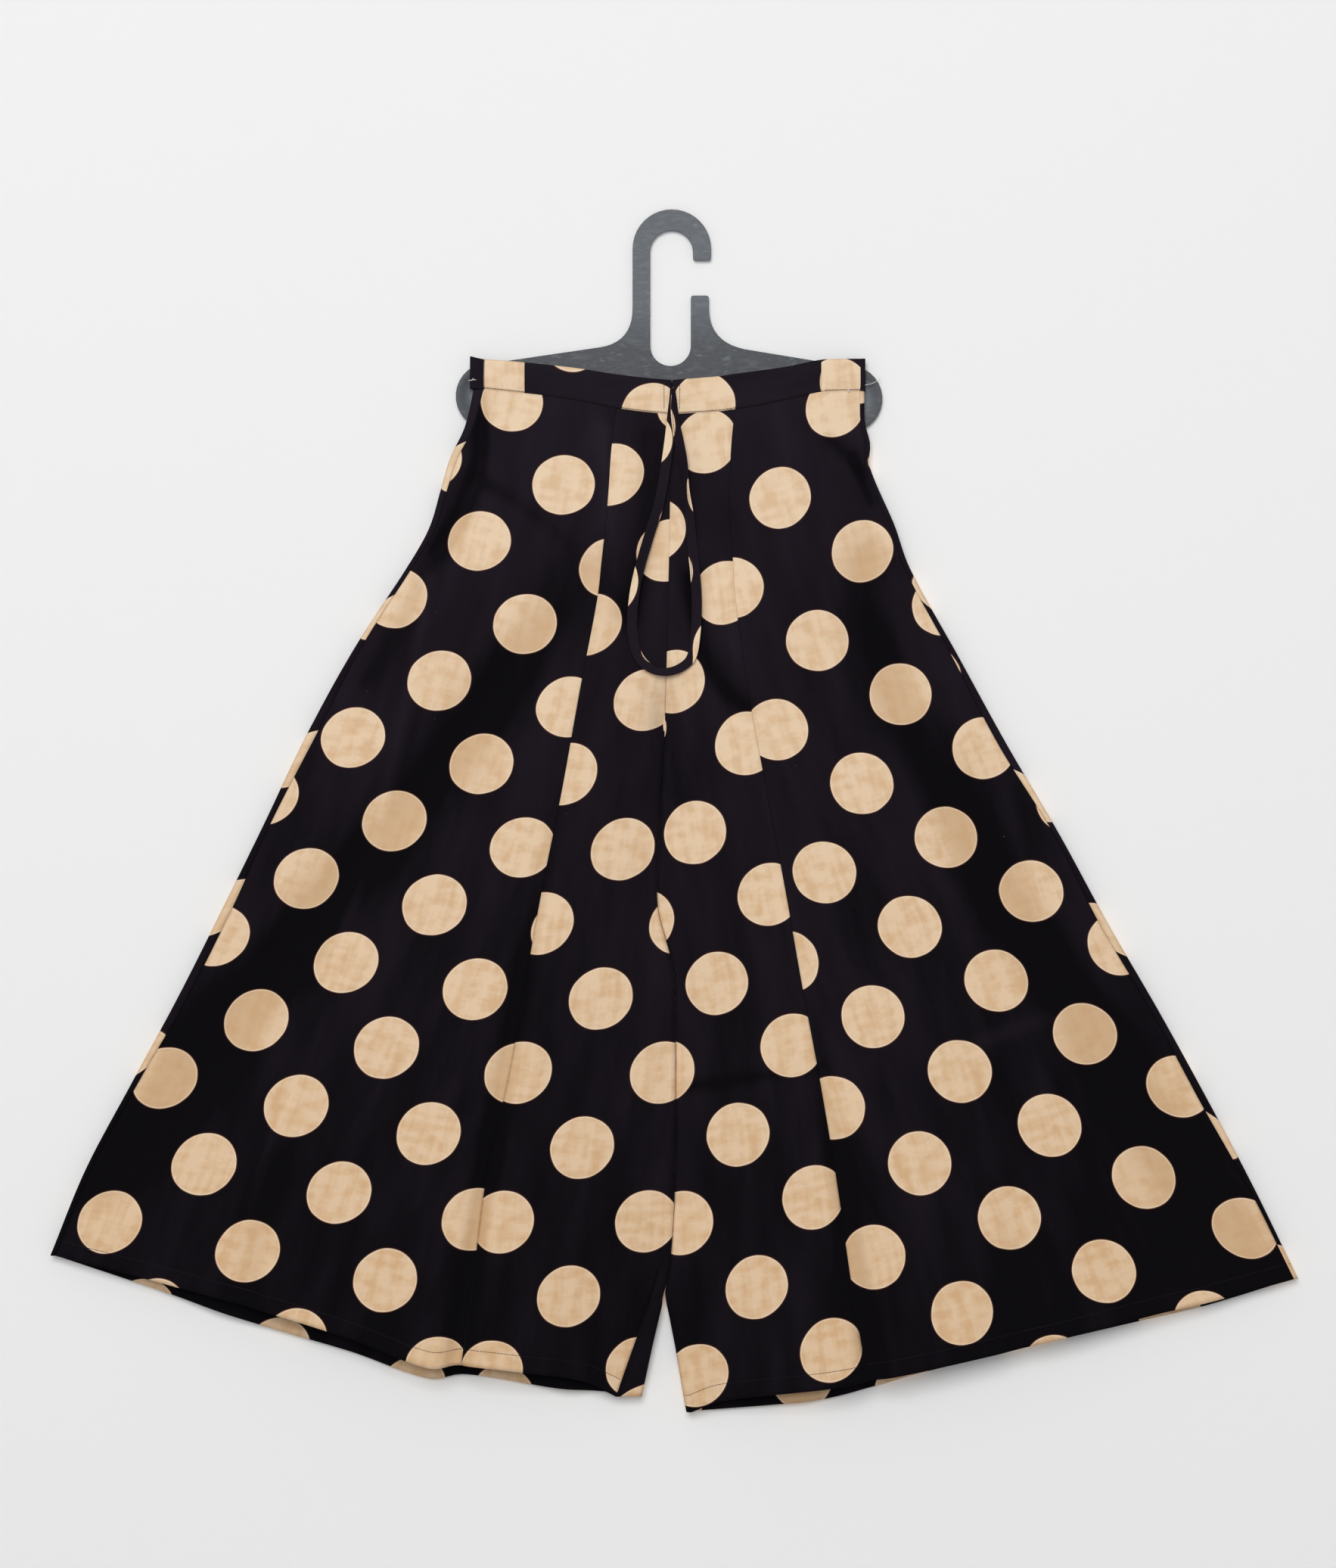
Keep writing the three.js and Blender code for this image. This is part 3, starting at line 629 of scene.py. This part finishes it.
    # On the black, painted light on ridges and near the waist; on the dots, painted shade in folds and lower down
    for base, layers in (
        ("deepBlack", (("napAndLitBlack", napAndPaintedLight), ("lint", inLint), ("rust", inside["rust"]))),
        ("beige", (("tan", slubsAndLowShade), ("foldShadeTan", shares["folds"]), ("rim", inside["rim"]))),
    ):
        values, under = {6: linearColour(cottonPrint[base])}, {}
        for part, share in layers:
            values[7] = linearColour(cottonPrint[part])
            colour = addNode(tree, "Mix", {"data_type": "RGBA"}, values, {0: share, **under})[2]
            values, under = {}, {6: colour}
        grounds.append(colour)
    printed = addNode(
        tree, "Mix", {"data_type": "RGBA"}, links={0: inside["dot"], 6: grounds[0], 7: grounds[1]},
    )[2]
    tree.links.new(printed, shader.inputs["Base Color"])

    warp, weft = (addNode(
        tree, "TexWave", {"wave_type": "BANDS", "bands_direction": direction},
        {"Scale": wavePeriod / (cottonPrint["weave"] * mm), "Distortion": 0.6, "Detail": 1}, {"Vector": place},
    )["Fac"] for direction in ("X", "Y"))
    weave = addNode(tree, "Math", {"operation": "MULTIPLY"}, links={0: warp, 1: weft})[0]
    bump = addNode(
        tree, "Bump", values={"Strength": 0.25, "Distance": cottonPrint["weaveHeight"] * mm},
        links={"Height": weave},
    )["Normal"]
    tree.links.new(bump, shader.inputs["Normal"])
    return material


cotton = makeCotton("printedCotton")
print("materials made")


def clothPiece(title, columns, rows, place, flip, thickness, node):
    piece = gridSheet(title, columns, rows, place, flip)
    solidify = piece.modifiers.new("clothWall", "SOLIDIFY")
    solidify.thickness = thickness * mm
    solidify.offset = 0
    solidify.use_even_offset = False
    piece.data.materials.append(cotton)
    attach(piece, "root")
    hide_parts(node)


# Panels of the legs: what lays them out, node of the solid it stands for, columns, and whether it faces the back
panelKinds = {
    "frontSide": {"place": frontSide, "node": "front_side_", "columns": 88, "back": False},
    "frontCentre": {"place": frontCentre, "node": "front_centre_", "columns": 48, "back": False},
    "backSide": {"place": backSide, "node": "back_side_", "columns": 60, "back": True},
    "backCentre": {"place": backCentre, "node": "back_centre_", "columns": 40, "back": True},
}


def panelPlace(kind, side, s, down):
    values = panelKinds[kind]
    pull = 0 if values["back"] else cloth["frontPull"]
    x, depth, z, plain = values["place"](legs[side], sharesNearEnds(s, pull), down)
    shade = -shadeOf(backFolds, [], x, z) if values["back"] else shadeOf(frontFolds, frontCreases, x, z)
    return x, depth, z, *printPlace(prints[kind + side], plain, z), shade, down


for side, leg in legs.items():
    for kind, values in panelKinds.items():
        rows = round(cloth["length"] / cloth["backGrid" if values["back"] else "grid"])
        clothPiece(
            kind + side, values["columns"], rows, lambda s, down: panelPlace(kind, side, s, down),
            leg["outward"] > 0, cloth["thickness"], values["node"] + side.lower(),
        )

# Waistband: a doubled strip, turned over at the top. The back one comes round to a seam on each side of the front.
band = {
    "seam": 139.5, "slit": 1, "puff": 0.5, "backPuff": 0.5, "topRound": 0.9, "topReach": 1.2, "seamSpread": 75,
    "turnShare": 0.1, "wrapShare": 0.22, "columns": 64, "backColumns": 300, "rows": 16,
}
# At the left the band is rolled outwards: how far at each side, and how much of that lifts its top
roll = {"Left": 3.2, "Right": 0.4, "lift": 0.9}


def bandAcross(now, x):
    seamAcross = cloth["seamAcross"]
    outer = seamAcross * (x - now["sideSeam"]) / (now["seam"] - now["sideSeam"])
    inner = mix(seamAcross, 1, (x - now["seam"]) / (now["inner"] - now["seam"]))
    return unit(np.where(outer < seamAcross, outer, inner))


def bandSection(leg, across, down):
    top = readAt(leg["edges"], "top", across)
    z = mix(top, readAt(leg["edges"], "waist", across), down)
    rounded = band["topRound"] * np.exp(-((top - z) / band["topReach"]) ** 2)
    return z, band["puff"] * np.sin(math.pi * down) - rounded - dipAt(band["seamSpread"] * (1 - down))


def frontBand(leg, s, down):
    now = levelOf(leg, np.zeros_like(s))
    outward = leg["outward"]
    x = mix(outward * band["seam"] + np.zeros_like(s), now["inner"] + outward * band["slit"] / 2, s)
    across = bandAcross(now, x)
    z, shape = bandSection(leg, across, down)
    depth = frontDepthAt(now, across) + shape - dipAt(x - outward * band["seam"])
    return x, depth, z


def bandHalf(leg, share, down, side):
    now = levelOf(leg, np.zeros_like(share))
    outward = leg["outward"]
    wrapShare, turnShare = band["wrapShare"], band["turnShare"]
    wrap = unit(share / wrapShare)
    turn = unit((share - wrapShare) / turnShare)
    flat = unit((share - wrapShare - turnShare) / (1 - wrapShare - turnShare))
    wrapX = mix(outward * band["seam"] + np.zeros_like(share), now["sideSeam"], wrap)
    turnX, turnDepth, unrolled = turnAt(1 - turn, now["side"], -outward, now["sideRadius"], now["sideTurn"])
    flatX = mix(now["side"] - outward * now["sideRadius"], now["inner"], flat)
    onWrap, onTurn = share <= wrapShare, (turn > 0) & (flat <= 0)
    x = np.where(onWrap, wrapX, np.where(onTurn, turnX, flatX))
    across = np.where(onTurn, 0, bandAcross(now, x))
    z, shape = bandSection(leg, across, down)
    swell = roll[side] * np.sin(math.pi * turn) * onTurn
    front = frontDepthAt(now, across) + shape - dipAt(x - outward * band["seam"])
    back = np.where(onTurn, turnDepth + swell * (1 - turn), cloth["backDepth"] - shape * band["backPuff"])
    frontPrint = printPlace(prints["waistbandWrap" + side], wrapX, z)
    backPrint = printPlace(prints["waistbandBack"], np.where(onTurn, unrolled, flatX), z)
    cloths = [np.where(onWrap, a, b) for a, b in zip(frontPrint, backPrint)]
    height = z + swell * (1 - down) * roll["lift"]
    return x + outward * swell, np.where(onWrap, front, back), height, *cloths, 0 * x, 0 * x


def backBand(s, down):
    left = bandHalf(legs["Left"], unit(2 * s), down, "Left")
    right = bandHalf(legs["Right"], unit(2 - 2 * s), down, "Right")
    return [np.where(s <= 0.5, a, b) for a, b in zip(left, right)]


def frontBandPlace(side, s, down):
    x, depth, z = frontBand(legs[side], s, down)
    return x, depth, z, *printPlace(prints["waistbandFront" + side], x, z), 0 * x, 0 * x


for side, leg in legs.items():
    clothPiece(
        "waistbandFront" + side, band["columns"], band["rows"], lambda s, down: frontBandPlace(side, s, down),
        leg["outward"] > 0, cloth["bandThickness"], "waistband_front_" + side.lower(),
    )
clothPiece(
    "waistbandBack", band["backColumns"], band["rows"], backBand, True, cloth["bandThickness"], "waistband_back",
)
print("waistband made")

# Drawstring: a tape folded from the same cloth, out of the slit, down in a loop and back. Points in millimetres
# as x, depth and height; the twist is the turn of the tape's width away from the picture plane.
tape = {
    "width": 9.5, "thickness": 1.6, "squareness": 0.45, "rings": 260, "routeSteps": 24, "corners": 16,
    "printAcross": -34, "printBack": 12, "printDrift": 4.3, "driftFrom": 0.15, "printAlong": 18,
    "stitchInset": 1.3,
    "plainRings": 6,  # without stitches at each end
    "route": [
        (-1, 20.6, -150), (-1, 20.6, -169), (-4, 20.3, -205), (-12, 20.4, -255), (-22, 20.2, -288),
        (-31, 20.3, -319), (-36.5, 21.1, -347), (-38, 22.6, -376), (-33, 23.4, -401), (-21, 22.8, -413.5),
        (-6.8, 22.1, -417), (7.5, 22, -412.8), (17.4, 21.9, -403), (21, 21.5, -383), (22.4, 21, -354),
        (21, 21.3, -326), (17.4, 21.9, -290), (14.6, 22.1, -255), (11, 22.5, -226), (6, 23, -202),
        (1.8, 23.3, -177), (0.4, 23.5, -151),
    ],
    "twist": columnsOf(["share", "degrees", "width"], [
        (0, 60, 0.5), (0.03, 35, 0.8), (0.07, 12, 0.95), (0.15, -10, 1), (0.3, 12, 1),
        (0.45, -15, 1), (0.5, -35, 0.95), (0.56, -20, 1), (0.7, 10, 1), (0.78, -30, 1),
        (0.83, -68, 0.9), (0.88, -40, 1), (0.93, 15, 0.9), (0.97, 30, 0.75), (1, 60, 0.5),
    ]),
}


def smoothRoute(points, count):
    points = np.array(points, float)
    ends = np.vstack([2 * points[0] - points[1], points, 2 * points[-1] - points[-2]])
    dense = []
    for place in range(1, len(ends) - 2):
        a, b, c, d = ends[place - 1:place + 3]
        for t in np.linspace(0, 1, tape["routeSteps"], endpoint=place == len(ends) - 3):
            dense.append(0.5 * (2 * b + (c - a) * t + (2 * a - 5 * b + 4 * c - d) * t * t
                                + (3 * b - a - 3 * c + d) * t ** 3))
    dense = np.array(dense)
    arc = np.concatenate([[0], np.cumsum(np.linalg.norm(np.diff(dense, axis=0), axis=1))])
    even = np.linspace(0, arc[-1], count)
    return np.stack([np.interp(even, arc, dense[:, axis]) for axis in range(3)], 1), arc[-1]


centres, tapeLength = smoothRoute(tape["route"], tape["rings"] + 1)
tangents = np.gradient(centres, axis=0)
tangents /= np.linalg.norm(tangents, axis=1)[:, None]


def tapeFrame(ring):
    # Width and directions across the tape at each ring
    share = ring / tape["rings"]
    tangent = tangents[ring]
    out = np.array([0, 1, 0]) - tangent * tangent[:, 1:2]
    out /= np.linalg.norm(out, axis=1)[:, None]
    sideways = np.cross(tangent, out)
    twist = np.radians(readAt(tape["twist"], "degrees", share))
    alongWidth = np.cos(twist)[:, None] * sideways + np.sin(twist)[:, None] * out
    alongThickness = np.cos(twist)[:, None] * out - np.sin(twist)[:, None] * sideways
    return readAt(tape["twist"], "width", share), alongWidth, alongThickness


def tapePlace(s, down):
    ring = np.clip(np.round(down * tape["rings"]).astype(int), 0, tape["rings"])
    around = 2 * math.pi * s
    share = ring / tape["rings"]
    wide, alongWidth, alongThickness = tapeFrame(ring)
    px, py = (
        np.sign(wave) * np.abs(wave) ** tape["squareness"] * size / 2
        for wave, size in ((np.cos(around), tape["width"]), (np.sin(around), tape["thickness"]))
    )
    px = px * wide
    points = centres[ring] + px[:, None] * alongWidth + py[:, None] * alongThickness
    drift = tape["printDrift"] * (share - tape["driftFrom"])
    u = (tape["printAcross"] + drift + px + np.where(np.sin(around) < 0, tape["printBack"], 0)) * mm
    v = (tape["printAlong"] + share * tapeLength) * mm
    return points[:, 0], points[:, 1], points[:, 2], u, v, 1 + 0 * u, 1 + 0 * u, 0 * u, 0 * u


drawstring = gridSheet("drawstringTape", tape["corners"], tape["rings"], tapePlace, False)
bm = bmesh.new()
bm.from_mesh(drawstring.data)
bmesh.ops.remove_doubles(bm, verts=bm.verts, dist=0.01 * mm)
rims = [edge for edge in bm.edges if edge.is_boundary]
bmesh.ops.holes_fill(bm, edges=rims, sides=0)
bmesh.ops.recalc_face_normals(bm, faces=bm.faces)
bm.to_mesh(drawstring.data)
bm.free()
drawstring.data.materials.append(cotton)
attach(drawstring, "root")
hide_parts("drawstring")
print("drawstring made, length", round(tapeLength))

# Sewing: every stitch is a short six-sided rod half sunk in the cloth. The thread is 0.4 mm thick.
stitch = {
    "length": 2.8, "gap": 0.5, "radius": 0.22, "sides": 6, "sink": 0.1, "hemDown": 0.983, "waistDown": 0.952,
    "slitAcross": 0.951, "slitDowns": (0.03, 0.95),
}
seamSamples = {"hem": 400, "front": 300, "slit": 60, "back": 1600}
sewingThread = {
    "colour": "#100c12", "worn": "#1c171e", "white": "#e9e6e0", "whiteShade": "#cfcac0", "roughness": 0.6,
    "twist": 1.2,
}


def makeThread(name, pale, dark):
    # Spun thread, two plies twisted every 0.8 mm, drawn at 1.2 mm
    material, tree, shader = newMaterial(name, {
        "Roughness": sewingThread["roughness"],
        "Specular IOR Level": 0.2,
    })
    place = addNode(tree, "TexCoord")["Object"]
    plies = addNode(
        tree, "TexWave", {"bands_direction": "DIAGONAL"},
        {"Scale": wavePeriod / (sewingThread["twist"] * mm), "Distortion": 1}, {"Vector": place},
    )["Fac"]
    colour = addNode(
        tree, "Mix", {"data_type": "RGBA"}, {6: linearColour(dark), 7: linearColour(pale)}, {0: plies},
    )[2]
    tree.links.new(colour, shader.inputs["Base Color"])
    bump = addNode(
        tree, "Bump", values={"Strength": 0.4, "Distance": 0.1 * mm}, links={"Height": plies},
    )["Normal"]
    tree.links.new(bump, shader.inputs["Normal"])
    return material


blackThread = makeThread("blackSewingThread", sewingThread["worn"], sewingThread["colour"])
whiteThread = makeThread("whiteTackingThread", sewingThread["white"], sewingThread["whiteShade"])


def seamLine(at, shares, downs, facing):
    # Points along a seam in millimetres, and the way that the cloth faces there
    def surface(s, down):
        x, depth, z = at(unit(s), unit(down))[:3]
        return np.stack([x, -depth, z], 1)

    reach = 0.002
    across = surface(shares + reach, downs) - surface(shares - reach, downs)
    along = surface(shares, downs + reach) - surface(shares, downs - reach)
    normals = facing * np.cross(across, along)
    lengths = np.maximum(np.linalg.norm(normals, axis=1), 1e-6)
    return surface(shares, downs), normals / lengths[:, None]


def sew(bm, points, normals, wall):
    arc = np.concatenate([[0], np.cumsum(np.linalg.norm(np.diff(points, axis=0), axis=1))])
    lift = wall / 2 + stitch["radius"] - stitch["sink"]
    pitch = stitch["length"] + stitch["gap"]
    for start in np.arange(stitch["gap"], arc[-1] - pitch, pitch):
        first, last = (
            Vector([np.interp(at, arc, points[:, axis]) for axis in range(3)])
            for at in (start, start + stitch["length"])
        )
        normal = Vector([np.interp(start, arc, normals[:, axis]) for axis in range(3)])
        turn = (last - first).to_track_quat("Z", "Y").to_matrix().to_4x4()
        bmesh.ops.create_cone(
            bm, cap_ends=True, segments=stitch["sides"], radius1=stitch["radius"] * mm,
            radius2=stitch["radius"] * mm, depth=stitch["length"] * mm,
            matrix=Matrix.Translation(((first + last) / 2 + normal * lift) * mm) @ turn,
        )


def finishSewing(title, bm):
    mesh = meshOf(title, bm)
    mesh.materials.append(blackThread)
    piece = addObject(title, mesh)
    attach(piece, "root")
    return len(mesh.polygons) // (stitch["sides"] + 2)


stitchCount = 0
shares = np.linspace(0, 1, seamSamples["hem"])
for side, leg in legs.items():
    bm = bmesh.new()
    for values in panelKinds.values():
        line = seamLine(
            lambda s, down: values["place"](leg, s, down), shares, stitch["hemDown"] + 0 * shares, leg["outward"],
        )
        sew(bm, *line, cloth["thickness"])
    stitchCount += finishSewing("hemStitches" + side, bm)
bm = bmesh.new()
shares = np.linspace(0, 1, seamSamples["front"])
downs = np.linspace(*stitch["slitDowns"], seamSamples["slit"])
for leg in legs.values():
    for line in ((shares, stitch["waistDown"] + 0 * shares), (stitch["slitAcross"] + 0 * downs, downs)):
        line = seamLine(lambda s, down: frontBand(leg, s, down), *line, leg["outward"])
        sew(bm, *line, cloth["bandThickness"])
shares = np.linspace(0, 1, seamSamples["back"])
sew(bm, *seamLine(backBand, shares, stitch["waistDown"] + 0 * shares, 1), cloth["bandThickness"])
stitchCount += finishSewing("waistbandStitches", bm)
bm = bmesh.new()
rings = np.arange(tape["plainRings"], tape["rings"] + 1 - tape["plainRings"])
wide, alongWidth, alongThickness = tapeFrame(rings)
across = (tape["width"] / 2 * wide - tape["stitchInset"])[:, None] * alongWidth
for face in (1, -1):
    line = (centres[rings] + across + face * (tape["thickness"] / 2) * alongThickness) * [1, -1, 1]
    sew(bm, line, face * alongThickness * [1, -1, 1], 0)
stitchCount += finishSewing("drawstringStitches", bm)
print("stitches sewn:", stitchCount)

# White tacking threads that hold the back band to the hanger's round ends: the marks left by one at the left, and
# the knot and loose tail of the other. The front of the band is searched for on a grid.
tack = {
    "radius": 0.28, "leftMark": (-189, -142), "markLift": 0.1,
    "markLines": [
        [(-3.5, -0.8, -0.6), (0, 0, 0), (3.8, -0.2, 0.2)],
        [(-0.5, 0.1, -0.8), (1.5, 0.3, 1.6)],
    ],
    "knot": (165.3, -152), "knotLift": 0.5, "knotSize": 0.42, "knotSteps": 36,
    "tail": [
        (179.5, 7.5, -147.2), (182.6, 7.2, -145.9), (186.5, 5.4, -145.2), (190, 3.4, -143.6), (193.4, 2.2, -141.4),
        (196.4, 1.9, -139.6),
    ],
    "searchShare": 0.34, "searchGrid": (240, 60), "searchReach": 1.5,
}


def bandFrontDepth(side, x, z):
    columns, rows = tack["searchGrid"]
    shares, downs = np.meshgrid(np.linspace(0, tack["searchShare"], columns), np.linspace(0, 1, rows))
    points = bandHalf(legs[side], shares.ravel(), downs.ravel(), side)
    near = np.hypot(points[0] - x, points[2] - z) < tack["searchReach"]
    return np.max(points[1][near]) + cloth["bandThickness"] / 2


def threadPiece(title, lines):
    curve = bpy.data.curves.new(title, "CURVE")
    curve.dimensions = "3D"
    curve.bevel_depth = tack["radius"] * mm
    curve.bevel_resolution = 2
    curve.use_fill_caps = True
    for points, closed in lines:
        spline = curve.splines.new("POLY")
        spline.points.add(len(points) - 1)
        for point, (x, depth, z) in zip(spline.points, points):
            point.co = (x * mm, -depth * mm, z * mm, 1)
        spline.use_cyclic_u = closed
    curve.materials.append(whiteThread)
    piece = addObject(title, curve)
    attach(piece, "root")


markX, markZ = tack["leftMark"]
markDepth = bandFrontDepth("Left", markX, markZ) + tack["markLift"]
threadPiece("tackingThreadLeft", [
    ([(markX + x, markDepth + depth, markZ + z) for x, depth, z in line], False) for line in tack["markLines"]
])
knotX, knotZ = tack["knot"]
knotDepth = bandFrontDepth("Right", knotX, knotZ) + tack["knotLift"]
knotLine = []
for turn in np.linspace(0, 2 * math.pi, tack["knotSteps"], endpoint=False):
    knotLine.append((
        knotX + tack["knotSize"] * (math.sin(turn) + 2 * math.sin(2 * turn)),
        knotDepth - tack["knotSize"] * math.sin(3 * turn),
        knotZ + tack["knotSize"] * (math.cos(turn) - 2 * math.cos(2 * turn)),
    ))
threadPiece("tackingThreadRight", [(knotLine, True), (tack["tail"], False)])
print("threads placed")

# Hanger: injection-moulded polypropylene, matt, a little shiny where handled, with light scuffs and dished ends.
# The arms are painted darker than the neck, a painted shade near the band. The round ends are painted paler in
# the middle, a painted highlight, and darker at the rim, a painted shade.
hangerPlastic = {
    "arm": "#363a40", "neck": "#52575e", "disc": "#5b6168", "rim": "#3a3e44", "scuff": "#878c93",
    "roughness": 0.48, "neckFrom": -112, "neckTo": -70,
    "discs": ((-173.6, -156), (166.4, -158.6)),
    "dishDepth": 1.6,
}
plastic, tree, shader = newMaterial("mouldedGreyPlastic", {"Specular IOR Level": 0.4})
place = addNode(tree, "TexCoord")["Object"]
height = addNode(tree, "SeparateXYZ", links={"Vector": place})["Z"]
flatPlace = addNode(tree, "VectorMath", {"operation": "MULTIPLY"}, {1: [1, 0, 1]}, {0: place})[0]
toDiscs = [
    addNode(tree, "VectorMath", {"operation": "DISTANCE"}, {1: [x * mm, 0, z * mm]}, {0: flatPlace})["Value"]
    for x, z in hangerPlastic["discs"]
]
toDisc = addNode(tree, "Math", {"operation": "MINIMUM"}, links={0: toDiscs[0], 1: toDiscs[1]})[0]
scratchPlace = addNode(
    tree, "Mapping", values={"Scale": (60, 60, 190), "Rotation": (0, 0.5, 0)}, links={"Vector": place},
)["Vector"]
scratches = addNode(
    tree, "TexNoise", values={"Scale": 1, "Detail": 5, "Roughness": 0.65}, links={"Vector": scratchPlace},
)["Fac"]
# What each share is read from, from where to where, and its value at both ends
shares = {}
for part, (source, *numbers) in {
    "neck": (height, hangerPlastic["neckFrom"] * mm, hangerPlastic["neckTo"] * mm, 0, 1),
    "disc": (toDisc, 14 * mm, 28 * mm, 0.9, 0),
    "rimInside": (toDisc, 27 * mm, 30 * mm, 0, 1),
    "rimOutside": (toDisc, 31.2 * mm, 31.8 * mm, 1, 0),
    "dish": (toDisc, 17 * mm, 29 * mm, 0, 1),
    "scuff": (scratches, 0.56, 0.74, 0, 0.6),
    "rough": (scratches, 0.3, 0.7, hangerPlastic["roughness"] - 0.1, hangerPlastic["roughness"] + 0.12),
}.items():
    shares[part] = addNode(
        tree, "MapRange", {"interpolation_type": "SMOOTHSTEP" if source == toDisc else "LINEAR"},
        dict(zip(rangeNames, numbers)), {"Value": source},
    )["Result"]
rimShadeMask = addNode(
    tree, "Math", {"operation": "MULTIPLY"}, links={0: shares["rimInside"], 1: shares["rimOutside"]},
)[0]
# Over the arms' painted shade: the paler neck, the painted highlight and rim shade of the round ends, and scuffs
values, under = {6: linearColour(hangerPlastic["arm"])}, {}
for part, share in (
    ("neck", shares["neck"]), ("disc", shares["disc"]), ("rim", rimShadeMask), ("scuff", shares["scuff"]),
):
    values[7] = linearColour(hangerPlastic[part])
    colour = addNode(tree, "Mix", {"data_type": "RGBA"}, values, {0: share, **under})[2]
    values, under = {}, {6: colour}
dish = addNode(
    tree, "Bump", values={"Strength": 1, "Distance": hangerPlastic["dishDepth"] * mm},
    links={"Height": shares["dish"]},
)["Normal"]
grain = addNode(tree, "TexNoise", values={"Scale": 900, "Detail": 2}, links={"Vector": place})
bump = addNode(
    tree, "Bump", values={"Strength": 0.2, "Distance": 0.05 * mm}, links={"Height": grain["Fac"], "Normal": dish},
)["Normal"]
for source, socket in ((colour, "Base Color"), (shares["rough"], "Roughness"), (bump, "Normal")):
    tree.links.new(source, shader.inputs[socket])
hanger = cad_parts["hanger"]
hanger.data.materials.clear()
hanger.data.materials.append(plastic)
print("hanger finished")

# Wall and floor, in matt paint. The wall is clear from behind.
room = {
    "wallDepth": -4, "floorHeight": -1640, "size": 14000, "wall": "#efefef", "floor": "#b4b4b4",
    "ambient": "#f4f4f4", "ambientStrength": 0.46,
}
mattPaint = {"Roughness": 0.95, "Specular IOR Level": 0}
wallMaterial, wallTree, wallShader = newMaterial(
    "matPaintedWall", {"Base Color": linearColour(room["wall"]), **mattPaint},
)
behind = addNode(wallTree, "NewGeometry")["Backfacing"]
clear = addNode(wallTree, "BsdfTransparent")[0]
wallMix = addNode(wallTree, "MixShader", links={0: behind, 1: wallShader.outputs[0], 2: clear})
wallTree.links.new(wallMix[0], wallTree.nodes["Material Output"].inputs["Surface"])
floorMaterial = newMaterial("matPaintedFloor", {"Base Color": linearColour(room["floor"]), **mattPaint})[0]
for name, turn, place, material in (
    ("wall", Matrix.Rotation(math.pi / 2, 4, "X"), (0, -room["wallDepth"], 0), wallMaterial),
    ("floor", Matrix.Identity(4), (0, 0, room["floorHeight"]), floorMaterial),
):
    bm = bmesh.new()
    bmesh.ops.create_grid(bm, x_segments=1, y_segments=1, size=room["size"] * mm / 2)
    bmesh.ops.transform(bm, matrix=Matrix.Translation(Vector(place) * mm) @ turn, verts=bm.verts)
    mesh = meshOf(name, bm)
    mesh.materials.append(material)
    surface = addObject(name, mesh)
    if name == "wall":
        surface.visible_diffuse = False
        surface.visible_shadow = False

# Soft studio light: a large panel from the upper left, a weak one from below, the room's own light, and one
# behind for the back
lamps = {
    "key": {"place": (-900, -7600, 2300), "size": 4200, "power": 430},
    "fill": {"place": (300, -7000, -3200), "size": 2600, "power": 80},
    "back": {"place": (900, 2600, 300), "size": 2200, "power": 60},
}
for name, values in lamps.items():
    lamp = addObject(name, bpy.data.lights.new(name, "AREA"))
    lamp.data.size = values["size"] * mm
    lamp.data.energy = values["power"]
    lamp.location = Vector(values["place"]) * mm
    aim = Vector((0, 0, view["z"] * mm)) - lamp.location
    lamp.rotation_euler = aim.to_track_quat("-Z", "Y").to_euler()
world = bpy.data.worlds.new("room")
world.use_nodes = True
background = world.node_tree.nodes["Background"].inputs
background["Color"].default_value = linearColour(room["ambient"])
background["Strength"].default_value = room["ambientStrength"]
scene.world = world
print("stage lit")
